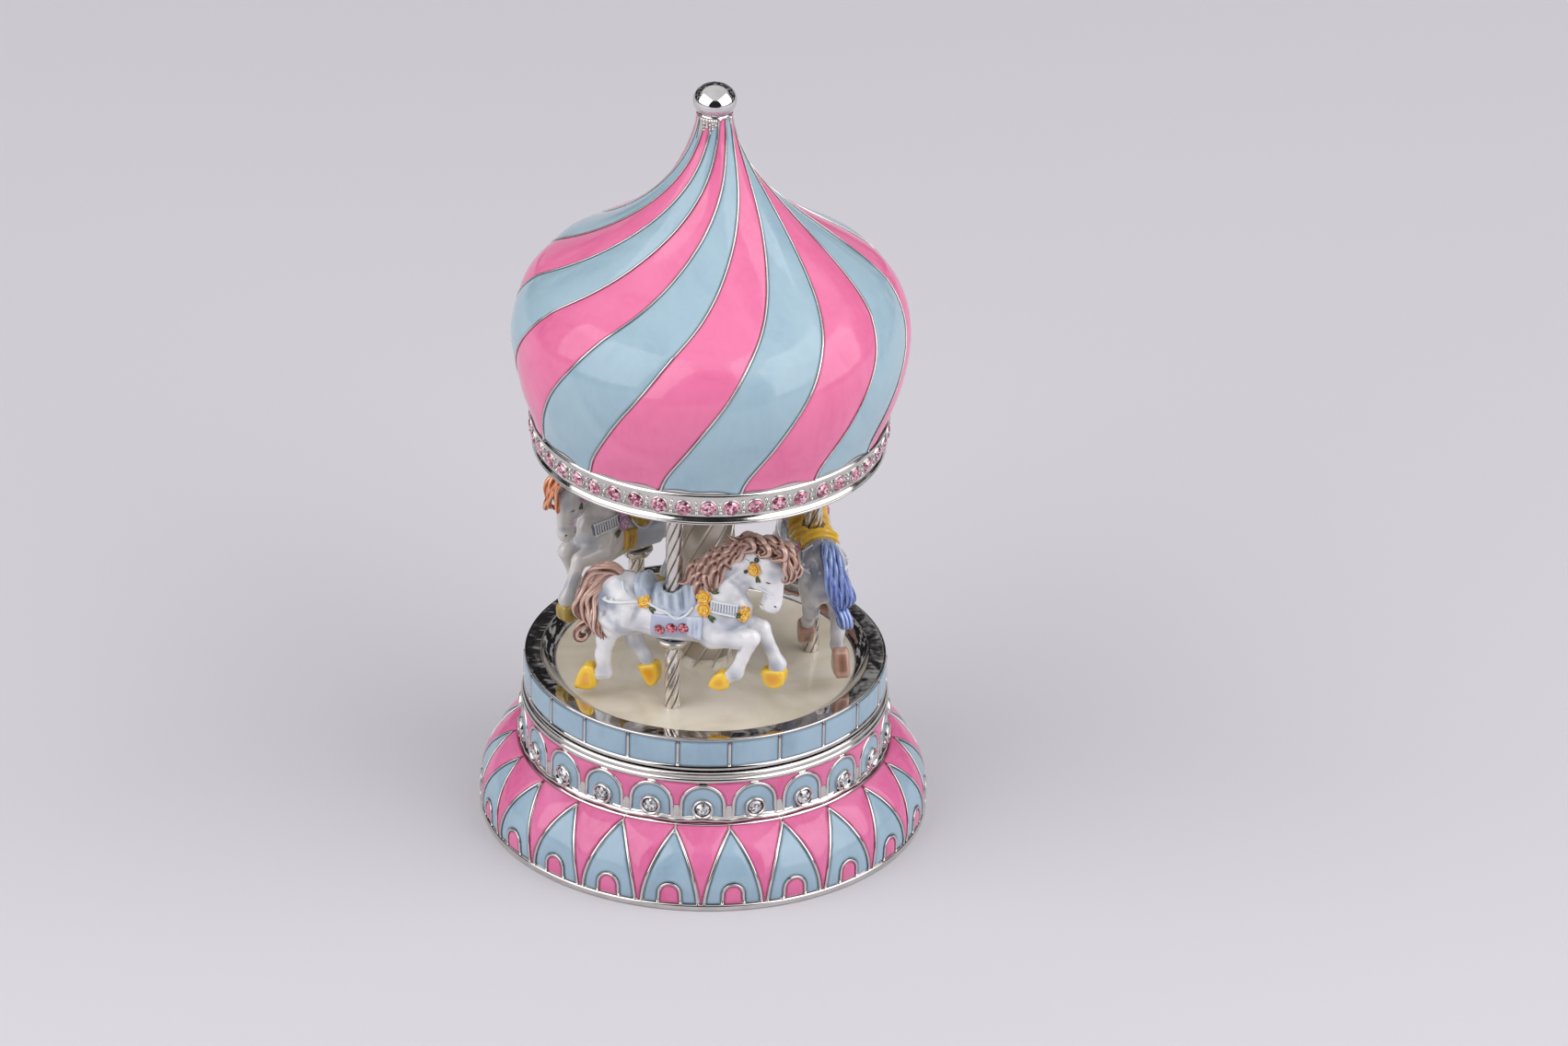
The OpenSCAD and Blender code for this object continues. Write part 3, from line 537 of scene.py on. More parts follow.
def brilliant(parts, origin, out, up, d, seed):
    """A cut stone of diameter d whose table shows a star of facets in painted light and dark tones."""
    out = np.asarray(out, float) / np.linalg.norm(out)
    up = np.asarray(up, float) - out * np.dot(up, out)
    up /= np.linalg.norm(up)
    side = np.cross(up, out)
    shade = np.random.default_rng(seed)
    turn = shade.uniform(0, 45)
    # radius, height, corners and turn of each ring
    rings = [(0.0, 0.14, 1, 0), (0.17, 0.15, 8, 0), (0.33, 0.15, 8, 22.5),
             (0.47, 0.05, 16, 0), (0.5, -0.02, 16, 0), (0.46, -0.12, 16, 0)]
    (tip,), star, crown, rim, girdle, foot = [
        [origin + side * (r * d * math.cos(a)) + up * (r * d * math.sin(a)) + out * (h * d)
         for a in np.radians(turn + off + np.arange(n) * 360 / n)] for r, h, n, off in rings]

    def facet(tones, *corners):
        tone = shade.choice(tones) if len(tones) > 1 else tones[0]
        parts.add(corners, [tuple(range(len(corners)))], tone)

    for i in range(8):
        j, k, after = (i + 1) % 8, 2 * i + 1, (2 * i + 2) % 16
        facet((0.1, 0.45, 0.9), tip, star[i], star[j])
        facet((0.15, 0.5, 0.95), star[i], crown[i], star[j])
        facet((0.2, 0.5, 0.8), star[j], crown[i], crown[j])
        facet((0.2, 0.6, 1.0), crown[i], rim[k - 1], rim[k])
        facet((0.1, 0.5, 0.9), crown[i], rim[k], rim[after])
        facet((0.2, 0.4, 0.7), crown[i], rim[after], crown[j])
    # painted shade: the girdle ring is painted darkest, for the gap between the stone and its seat
    for i in range(16):
        j = (i + 1) % 16
        facet((0.0, 0.0, 0.25), rim[i], girdle[i], girdle[j], rim[j])
        facet((0.1,), girdle[i], foot[i], foot[j], girdle[j])
    facet((0.1,), *foot[::-1])


def cup(parts, centre, out, up, outline, steps, waver=0.0, phase=0.0):
    """Round metal seat of a stone, its outline given as (radius, height) points."""
    outline = np.array(outline)
    side = np.cross(up, out)
    rings = []
    for t in full_turn(steps):
        lift = waver * math.sin(3 * t + phase)
        ray = side * math.cos(t) + up * math.sin(t)
        rings.append(centre + outline[:, :1] * ray + (outline[:, 1:] + lift) * out)
    parts.add(np.concatenate(rings), grid_faces(steps, len(outline), True, True))


def grain(parts, centre, size):
    """Small rounded bead of metal."""
    ball, faces = unit_ball(np.radians([-60, -20, 20, 60]), 8)
    parts.add(centre + ball * size, faces)


# ---------- base ----------

SKIRT_TOP = 14.3
SKIRT = Surface(bezier((ARCADE_R + 0.4, SKIRT_TOP), (37.2, 12.3), (BASE_R + 0.7, 8.2), (BASE_R - 0.15, 1.3)))
SKIRT_SINK = 0.4
PLATE_R, PLATE_TOP, LEDGE_R, HUB_R = 37.4, 8.2, 33.0, 2.25
STONE_Z = 17.1
CLEAR_D = 2.66
ARCADE = Surface([(ARCADE_R, z) for z in np.linspace(22.3, 15.0, 30)])
BEZEL = [(1.3, 0.2), (1.34, 0.42), (1.58, 0.86), (1.74, 0.92), (1.9, 0.7), (2.04, -0.3), (1.3, -0.3)]


def base_metal():
    """Casting with its flange, sunk skirt, bead, arcade wall and double moulding, and the stones' bezels."""
    inner_r = ARCADE_R - 1.8
    deck_z = BASE_TOP - 1.9
    skirt_outline = SKIRT.rz - SKIRT.normal_rz * SKIRT_SINK
    outline = np.vstack([
        [(HUB_R, deck_z), (inner_r, deck_z), (inner_r, SKIRT_TOP), (LEDGE_R, SKIRT_TOP - 3),
         (LEDGE_R, PLATE_TOP), (PLATE_R, PLATE_TOP), (PLATE_R, 0.15), (PLATE_R + 0.15, 0.0)],
        arc(BASE_R - 0.3, 0.35, 0.3, -80, 0, 3), arc(BASE_R - 0.45, 0.85, 0.42, 0, 85, 5),
        skirt_outline[::-1][1:-1],
        arc(ARCADE_R + 0.12, 14.75, 0.52, -75, 75, 8),
        [(ARCADE_R - 0.1, 15.5), (ARCADE_R - 0.1, 22.05)],
        arc(ARCADE_R - 0.35, 22.65, 0.62, -70, 68, 8), arc(ARCADE_R - 0.5, 23.68, 0.62, -48, 90, 8),
        [(ARCADE_R - 1.2, BASE_TOP), (HUB_R, BASE_TOP)]])
    z = outline[:, 1]
    bead = (z > 14.25) & (z < 15.3) & (outline[:, 0] > ARCADE_R - 0.5)

    def scalloped(profile, a):
        """The bead dips between the arches."""
        moved = profile.copy()
        moved[bead, 1] += 0.13 * math.cos(ARCHES * (a + math.pi / 2)) - 0.05
        moved[bead, 0] += 0.05 * math.cos(3 * ARCHES * a)
        return moved

    parts = Parts()
    parts.add(*revolve(outline, 528, scalloped))
    for i in range(ARCHES):
        out = outward(i * PITCH)
        cup(parts, out * ARCADE_R + UP * STONE_Z, out, UP, BEZEL, 40)
    parts.mesh("base_metal", "base", NICKEL, "nickel", replaces=("base_casting",))


def arch_outline(half, foot, top, n):
    """Round-topped arch from its left foot over the top to its right foot, as (x, s) points."""
    spring = top + half
    knee = spring + 0.3 * (foot - spring)
    crown = [(half * math.cos(t), spring - half * math.sin(t)) for t in np.linspace(math.pi, 0, n)]
    return np.array([(-half - 0.12, foot), (-half, knee)] + crown + [(half, knee), (half + 0.12, foot)])


def spandrel(half_pitch, arch_half, arch_top):
    """Curved triangle between two arches: flat top, point downwards."""
    spring = arch_top + arch_half
    side = []
    for t in np.linspace(0.02, 1, 16):
        s = arch_top + (spring + 0.5 - arch_top) * t
        rise = max(spring - s, 0) / arch_half
        side.append((half_pitch - arch_half * math.sqrt(max(1 - rise * rise, 0)), s))
    side = np.array([(side[0][0] + 0.25, 0.12)] + side)
    return np.vstack([side * (-1, 1), [(0, spring + 1.1)], side[::-1]])


def to_angles(path, centre, radius):
    """Turns (arc millimetres, s) points at a radius into (angle, s) points."""
    return np.c_[centre + np.degrees(path[:, 0] / radius), path[:, 1]]


def arcade():
    """Blue arches with silver outlines and stones, pink spandrels between them."""
    blue, pink, lines, stones = Parts(), Parts(), Parts(), Parts()
    foot = ARCADE.length
    half_pitch = math.pi * ARCADE_R / ARCHES
    for i in range(ARCHES):
        angle = i * PITCH
        half = 3.55 + rng.uniform(-0.08, 0.08)
        top = 1.0 + rng.uniform(-0.06, 0.06)
        field(blue, ARCADE, arch_outline(half, foot - 0.15, top, 18), angle, -0.02, 0.1, 0.5)
        hoop = resample(arch_outline(half + 0.28, foot - 0.02, top - 0.28, 18), 0.3)
        wire(lines, ARCADE, to_angles(hoop, angle, ARCADE_R), 0.62, 0.24)
        field(pink, ARCADE, spandrel(half_pitch, half + 0.5, top - 0.5), angle + PITCH / 2, 0.0, 0.16, 0.4)
        pillar = np.array([(angle + PITCH / 2, s) for s in np.linspace(4.6, foot - 0.02, 12)])
        wire(lines, ARCADE, pillar, np.linspace(0.8, 2.1, 12), 0.15)
        out = outward(angle)
        brilliant(stones, out * (ARCADE_R + 0.42) + UP * STONE_Z, out, UP, CLEAR_D, 100 + i)
    blue.mesh("arcade_blue", "base", BLUE, "base_enamel", "depth")
    pink.mesh("arcade_pink", "base", PINK, "base_enamel", "depth")
    lines.mesh("arcade_lines", "base", NICKEL, "nickel")
    stones.mesh("arcade_stones", "base", CLEAR_STONE, "clear_stone", "facet", smooth=False,
                replaces=("arcade_crystals",))


PETAL_TOP = 1.35
PETAL_FOOT = SKIRT.length - 0.1
PETAL_HALF = 7.35
LINE_HALF = 0.3


def skirt():
    """Blue pointed petals with keyholes, pink triangles between them, silver lines round all."""
    blue, pink, lines = Parts(), Parts(), Parts()
    sunk = dict(low=-0.6)
    t = np.linspace(0, 1, 30)
    s = PETAL_TOP + (PETAL_FOOT - PETAL_TOP) * t
    key_r = SKIRT.radius(PETAL_FOOT - 2)
    mean_r = SKIRT.radius((PETAL_TOP + PETAL_FOOT) / 2)
    to_mm = math.radians(1) * mean_r
    margin = np.degrees(LINE_HALF / SKIRT.radius(s))
    for i in range(ARCHES):
        angle = (i + 0.5) * PITCH
        centre = angle + rng.uniform(-0.25, 0.25) * (1 - t)
        half = PETAL_HALF * (1 - (1 - t) ** 1.55) ** 0.92 * (1 + rng.uniform(-0.02, 0.02))
        left, right = np.c_[centre - half, s], np.c_[centre + half, s]
        outline = np.vstack([left[::-1], right[1:]])
        width = np.interp(np.abs(np.linspace(-1, 1, len(outline))), [0, 0.12, 1], [0.3, 0.42, 0.46])
        wire(lines, SKIRT, outline, width, 0.12, low=-0.5)
        key_half, key_top = 1.95 + rng.uniform(-0.1, 0.1), PETAL_FOOT - 3.9
        keyhole = arch_outline(key_half, PETAL_FOOT, key_top, 14)
        wire(lines, SKIRT, to_angles(keyhole, angle, key_r), 0.42, 0.12, low=-0.5)
        # petal enamel with the keyhole cut out of its foot
        keep = half > margin
        l_edge = np.c_[(centre - half + margin - angle) * to_mm, s][keep]
        r_edge = np.c_[(centre + half - margin - angle) * to_mm, s][keep]
        hole = arch_outline(key_half + 0.3, PETAL_FOOT, key_top - 0.3, 14) * (mean_r / key_r, 1)
        field(blue, SKIRT, np.vstack([l_edge, hole, r_edge[::-1]]), angle, -0.16, 0.1, 0.6, **sunk)
        scale = SKIRT.radius((key_top + PETAL_FOOT) / 2) / key_r
        hole = arch_outline(key_half - 0.28, PETAL_FOOT, key_top + 0.28, 12) * (scale, 1)
        field(pink, SKIRT, hole, angle, -0.12, 0.2, 0.5, **sunk)
        # pink triangle centred under the arch
        edge_half = PITCH / 2 - half - margin
        down = edge_half > 0.12
        edge = np.c_[edge_half * to_mm, s][down]
        roof = PITCH / 2 * to_mm - 0.15
        triangle = np.vstack([edge * (-1, 1), edge[::-1], [(roof, 0.5), (-roof, 0.5)]])
        field(pink, SKIRT, triangle, i * PITCH, -0.12, 0.36, 1.1, **sunk)
    blue.mesh("skirt_blue", "base", BLUE, "base_enamel", "depth")
    pink.mesh("skirt_pink", "base", PINK, "base_enamel", "depth")
    lines.mesh("skirt_lines", "base", NICKEL, "nickel")


# ---------- turntable ----------

PANEL_TOP, PANEL_FOOT = DRUM_HIGH[2] - 0.55, DRUM_LOW[2] + 0.85
DRUM_SIDE = Surface([(DRUM_R - 0.12, z) for z in np.linspace(PANEL_TOP, PANEL_FOOT, 12)])
RING_INNER_R = 29.6
ARBOR_R = 2.2
FLOOR_T = 1.35


def drum():
    """Polished ring with its sloped well, and blue panels parted by thin posts round its side."""
    low, top, r = DRUM_LOW[2], DRUM_HIGH[2], DRUM_R
    outline = np.vstack([
        [(ARBOR_R, low), (r - 0.3, low)], arc(r - 0.22, low + 0.2, 0.2, -80, 0, 4),
        [(r - 0.02, low + 0.62), (r - 0.22, low + 0.8), (r - 0.3, low + 0.95), (r - 0.3, top - 0.6)],
        arc(r - 0.42, top - 0.27, 0.27, -20, 90, 6),
        [(r - 0.75, top), (RING_INNER_R + 0.2, top)], arc(RING_INNER_R, top - 0.2, 0.2, 80, 170, 3),
        [(DISC_R + 0.35, DISC_TOP + 0.15), (DISC_R + 0.02, DISC_TOP + 0.02), (DISC_R + 0.02, DISC_LOW[2]),
         (DISC_R - 1, DISC_LOW[2]), (DISC_R - 1, low + FLOOR_T), (ARBOR_R, low + FLOOR_T)]])
    mesh("drum_metal", *revolve(outline, 264), "carousel", MIRROR, "nickel", replaces=("turntable_drum",))
    panels, dividers = Parts(), Parts()
    length = DRUM_SIDE.length
    corner = 0.25
    x, s = math.pi * DRUM_R / ARCHES - 0.24 - corner, length - corner
    corners = ((x, corner, -90), (x, s, 0), (-x, s, 90), (-x, corner, 180))
    panel = np.vstack([arc(cx, cs, corner, a, a + 90, 3) for cx, cs, a in corners])
    for i in range(ARCHES):
        field(panels, DRUM_SIDE, panel, i * PITCH, -0.06, 0.12, 0.5, low=-0.3)
        post = np.array([((i + 0.5) * PITCH, s) for s in np.linspace(-0.02, length + 0.02, 6)])
        wire(dividers, DRUM_SIDE, post, 0.5, 0.14)
    panels.mesh("drum_panels", "carousel", BLUE, "drum_enamel", "depth")
    dividers.mesh("drum_dividers", "carousel", NICKEL, "nickel")


def platform():
    """Cream disc that climbs to a small fillet of its own round the column."""
    r, low, top = DISC_R, DISC_LOW[2], DISC_TOP
    bore, fillet = 1.6, 0.9
    climb = [(COLUMN_R + d, top + fillet * math.exp(-d / 0.35)) for d in (1.6, 1.0, 0.6, 0.35, 0.18, 0.0, -0.3)]
    outline = np.vstack([[(bore, low), (r, low), (r, top - 0.15)], arc(r - 0.15, top - 0.15, 0.15, 0, 90, 4),
                         climb, [(bore, top + fillet)]])
    mesh("platform", *revolve(outline, 200), "carousel", CREAM, "cream_disc", replaces=("platform_disc",))


def twisted(parts, x, y, z0, z1, section, pitch, step, phase=0.0, sides=120):
    """Solid rod whose section, radius and groove depth by angle, turns as it rises."""
    t = full_turn(sides)
    zs = np.linspace(z0, z1, int((z1 - z0) / step) + 2)
    rings, shade = [], []
    for z in zs:
        a = t + 2 * np.pi * (z - z0) / pitch + phase
        r, groove = section(t, z)
        rings.append(np.c_[x + r * np.cos(a), y + r * np.sin(a), np.full(sides, z)])
        shade.append(groove)
    verts = np.vstack(rings + [[(x, y, z0)], [(x, y, z1)]])
    # the section's second number is stored as shade: painted shade for the rods, painted shade and painted
    # reflections for the column
    parts.add(verts, fanned_faces(len(zs), sides), np.concatenate(shade + [[0.0, 0.0]]))


def rod_section(radius, seed):
    """Six strands laid round a core, each a slightly different width."""
    shift = np.random.default_rng(seed).uniform(-0.12, 0.12, 6)

    def section(t, z):
        bent = t + 0.05 * np.sin(2 * t + z * 0.35)
        turn = (bent * 6 / (2 * np.pi)) % 6
        index = np.minimum(turn.astype(int), 5)
        away = turn - index - 0.5
        # the groove also goes out as the shade number: painted shade darkening the grooves
        groove = np.exp(-((0.5 - np.abs(away)) / 0.1) ** 2)
        crown = 0.04 * np.cos(np.pi * away) + 0.03 * shift[index] * np.sin(3 * away + z * 0.5)
        return radius * (0.955 + crown - 0.15 * groove), groove
    return section


# painted reflections: each flat panel gets a tone of its own, lighter and darker in turn
PANEL_REFLECTION_TONES = np.array([0.2, 0.42, 0.28, 0.5, 0.24, 0.46, 0.3, 0.52, 0.36])


def column_section(t, z):
    """Nine flat panels parted by thin raised ridges, with a dark line of painted shade on one side of each ridge
    and each panel in its own painted-reflection tone.
    """
    turn = t * 9 / (2 * np.pi)
    away = turn % 1 - 0.5
    flat = math.cos(math.pi / 9) / np.cos(away * 2 * math.pi / 9)
    ridge = np.exp(-((0.5 - np.abs(away)) / 0.045) ** 2)
    # painted shade: a dark line beside each ridge
    dark = np.exp(-((away + 0.41) / 0.035) ** 2)
    tone = PANEL_REFLECTION_TONES[turn.astype(int) % 9] * (1 - ridge)
    return COLUMN_R * (0.975 * flat + 0.06 * ridge - 0.012 * dark), np.maximum(0.8 * dark, tone)


def column_and_poles():
    """Fluted column and three twisted rods, each in two lengths that meet inside its horse."""
    column = Parts()
    twisted(column, 0, 0, COLUMN_LOW[2], COLUMN_HIGH[2], column_section, 54, 0.5, sides=216)
    column.mesh("fluted_column", "carousel", COLUMN_METAL, "column_nickel", "shade", replaces=("centre_column",))
    for index, side in enumerate(SIDES):
        low, high = (corner[2] for corner in node_box("pole_" + side))
        joint = CAP_Z[side] + 5
        rod = Parts()
        twisted(rod, *pole_place(side), low, joint, rod_section(1.48, 50 + index), 20, 0.25)
        twisted(rod, *pole_place(side), joint, high, rod_section(1.6, 60 + index), 21, 0.25, 1.0)
        rod.mesh("twisted_pole_" + side, "carousel", ROD_METAL, "column_nickel", "shade",
                 replaces=("pole_" + side,))


# ---------- canopy ----------

def dome_outline():
    """From the rim up to the neck, which ends inside the ball."""
    dome_h = NECK_Z - BAND_TOP
    low = bezier((RIM_R + 0.35, BAND_TOP), (RIM_R + 0.25, BAND_TOP + 3.6), (39.8, BAND_TOP + 17),
                 (RIM_R, BAND_TOP + 0.444 * dome_h))
    high = bezier(low[-1], (29.8, BAND_TOP + 29.7), (NECK_R + 3.1, BAND_TOP + 38.7), (NECK_R, NECK_Z))
    return np.vstack([low, high[1:], [(NECK_R - 0.08, NECK_Z + 0.7), (NECK_R - 0.15, NECK_Z + 1.4)]])


DOME = Surface(dome_outline())
TWIST_S = [0, 3, 9.4, 14.9, 20.3, 27, 33.3, 40.2, 46.6, 52.2, 57.2, 61.1, 66.2, 72]
TWIST_A = [-0.5, 1.6, 8.7, 14.2, 20.8, 27.6, 35, 42.7, 50.6, 60, 70, 80, 93, 108]
STRIPE_WIDTH = 360 / STRIPES
FIRST_STRIPE = -41.1
# the stripe whose enamel stops short of the neck, and by how much
BARE_STRIPE, BARE_LENGTH = 9, 4.2
PAD_ROWS, PAD_COLS = 150, 22
# angle and length of each drip of solder under the ball
DRIPS = ((-42, 0.9), (-33, 1.9), (-24, 1.3), (-14, 2.3), (-5, 1.5), (4, 0.8), (60, 1.0), (150, 1.4), (215, 0.9))


def twist(s):
    """How far a stripe has turned at a length along the outline, in degrees."""
    return sum(np.interp(s + d, TWIST_S, TWIST_A) for d in (-3, -1.5, 0, 1.5, 3)) / 5


def stripe(parts, index):
    """Crowned pad of enamel that winds from the rim to the neck."""
    u = np.linspace(0, 1, PAD_COLS)
    wobble = rng.uniform(0, 6.28, 3)
    foot = 0.35 + 0.28 * np.sin(u * 5 + wobble[0]) + 0.2 * np.sin(u * 11 + wobble[1])
    bare = BARE_LENGTH * np.exp(-((u - 0.5) / 0.35) ** 2) if index == BARE_STRIPE else 0
    end = DOME.length - 0.3 - bare + 0.2 * np.sin(u * 7 + wobble[2])
    s = foot + (end - foot) * np.linspace(0, 1, PAD_ROWS)[:, None]
    radius = DOME.radius(s)
    gap = np.degrees(0.16 / radius)
    angle = FIRST_STRIPE + index * STRIPE_WIDTH + gap + (STRIPE_WIDTH - 2 * gap) * u + twist(s)
    across = np.radians(STRIPE_WIDTH) * radius
    depth = np.minimum(np.minimum(u, 1 - u)[None] * across, np.minimum(s - foot, end - s))
    height = -0.14 + 0.5 * np.clip(radius / 34, 0.12, 1) * (1 - np.exp(-depth / (0.22 * across + 0.3)))
    top = DOME.place(angle.ravel(), s.ravel(), height.ravel())
    bottom = DOME.place(angle.ravel(), s.ravel(), -0.6)
    faces = grid_faces(PAD_ROWS, PAD_COLS)
    count = PAD_ROWS * PAD_COLS
    under = [tuple(v + count for v in f[::-1]) for f in faces]
    grid = np.arange(count).reshape(PAD_ROWS, PAD_COLS)
    ring = [int(v) for v in np.concatenate([grid[:, 0], grid[-1, 1:], grid[-2::-1, -1], grid[0, -2:0:-1]])]
    walls = [(a, b, b + count, a + count) for a, b in zip(ring, ring[1:] + ring[:1])]
    parts.add(np.vstack([top, bottom]), faces + under + walls, np.concatenate([depth.ravel()] * 2))


def dome():
    """Striped enamel, silver lines between the stripes, and the metal shell under them."""
    pink, blue, lines, metal = Parts(), Parts(), Parts(), Parts()
    path_s = np.linspace(0.1, DOME.length - 0.2, 170)
    width = np.interp(path_s, [0, 30, 72], [0.37, 0.32, 0.25])
    for i in range(STRIPES):
        stripe(blue if i % 2 else pink, i)
        path = np.c_[FIRST_STRIPE + i * STRIPE_WIDTH + twist(path_s), path_s]
        wire(lines, DOME, path, width, 0.1, low=-0.5)
    pink.mesh("dome_pink", "carousel", DOME_PINK, "dome_enamel", "depth")
    blue.mesh("dome_blue", "carousel", DOME_BLUE, "dome_enamel", "depth")
    lines.mesh("dome_lines", "carousel", NICKEL, "nickel")
    outer = DOME.rz - DOME.normal_rz * 0.22
    inner = [(max(r - 1.5, 0.4), z) for r, z in DOME.rz[::-4] if z < NECK_Z - 14]
    shell = np.vstack([[(outer[0, 0], BAND_TOP)], outer[1:], [(2.7, NECK_Z + 1.5), (2.3, NECK_Z + 1.2)],
                       [(1.2, NECK_Z), (1.2, NECK_Z - 4), (0.01, NECK_Z - 4), (0.01, NECK_Z - 13)], inner])
    metal.add(*revolve(shell, 180))
    for angle, drop in DRIPS:
        for down, size in ((0, 0.42), (0.35, 0.32), (0.7, 0.26), (1, 0.32)):
            z = 0.9 - down * drop
            reach = NECK_R - 0.12 + 0.08 * (0.9 - z)
            grain(metal, outward(angle) * reach + UP * (NECK_Z + z), size)
    metal.mesh("dome_metal", "carousel", NICKEL, "nickel", replaces=("dome_shell",))


PINK_D = 2.98
STONE_LEAN = math.atan2(0.3, 3.5)
SEAT = [(1.42, -0.35), (1.43, 0.1), (1.52, 0.2), (1.62, 0.12), (1.72, -0.35)]


def rim():
    """Stone-set band: pave groove with grains, a bead under it and a thin lower lip."""
    r, low, top = RIM_R, RIM_LOW[2], BAND_TOP
    lip = [(-0.3, 0), (-0.08, 0.08), (0, 0.22), (0, 0.42), (-0.06, 0.46), (-0.06, 0.5),
           (0, 0.54), (-0.02, 0.8), (-0.12, 0.88), (-0.14, 0.96)]
    cove = [(-0.3, 1.1), (-0.42, 1.45), (-0.5, 1.8), (-0.5, 1.96), (-0.3, 2.06), (-0.1, 2.14)]
    band = [(r + 0.16, top - 1.2), (r + 0.3, top - 0.7), (r + 0.3, top), (r - 1.3, top)]
    seat = [(-1.3, 3.2), (-3.7, 3.2), (-3.7, 2.0), (-1.3, 2.0)]
    above = np.array([r, low])
    parts, stones = Parts(), Parts()
    parts.add(*revolve(np.vstack([above + [(-1.3, 0)], above + lip, above + cove, band, above + seat]), 368))
    stone_z = low + 3.5
    step = 360 / RIM_STONES
    for i in range(RIM_STONES):
        angle = i * step + rng.uniform(-0.35, 0.35)
        flat = outward(angle)
        out = flat * math.cos(STONE_LEAN) - UP * math.sin(STONE_LEAN)
        up = flat * math.sin(STONE_LEAN) + UP * math.cos(STONE_LEAN)
        centre = flat * (r + 0.02) + UP * (stone_z + rng.uniform(-0.1, 0.1))
        brilliant(stones, centre + out * 0.08, out, up, PINK_D, 300 + i)
        cup(parts, centre, out, up, SEAT, 32, 0.06, i)
        for dz in (-1.0, 1.05, 0.0):
            flat = outward(angle + step / 2 + rng.uniform(-0.5, 0.5))
            size = rng.uniform(0.24, 0.42)
            grain(parts, flat * (r + 0.02 + 0.09 * dz) + UP * (stone_z + dz + rng.uniform(-0.15, 0.15)), size)
    parts.mesh("rim_metal", "carousel", NICKEL, "nickel", replaces=("dome_rim",))
    stones.mesh("rim_stones", "carousel", PINK_STONE, "pink_stone", "facet", smooth=False,
                replaces=("rim_crystals",))


def finial():
    """Flattened ball seated on the neck, with a stud down into it."""
    half = 3.1
    wide = (BALL_HIGH[0] - BALL_LOW[0]) / 2
    t = np.radians(np.linspace(-68, 90, 40))
    ball = np.c_[wide * np.cos(t), BALL_HIGH[2] - half + half * np.sin(t)]
    ball[-1, 0] = 0.001
    stud = [(0.001, NECK_Z - 3.9), (1.2, NECK_Z - 3.9), (1.2, NECK_Z + 0.2)]
    mesh("finial", *revolve(np.vstack([stud, ball]), 120), "carousel", BALL_METAL, "nickel",
         replaces=("finial_ball",))


# ---------- horses ----------

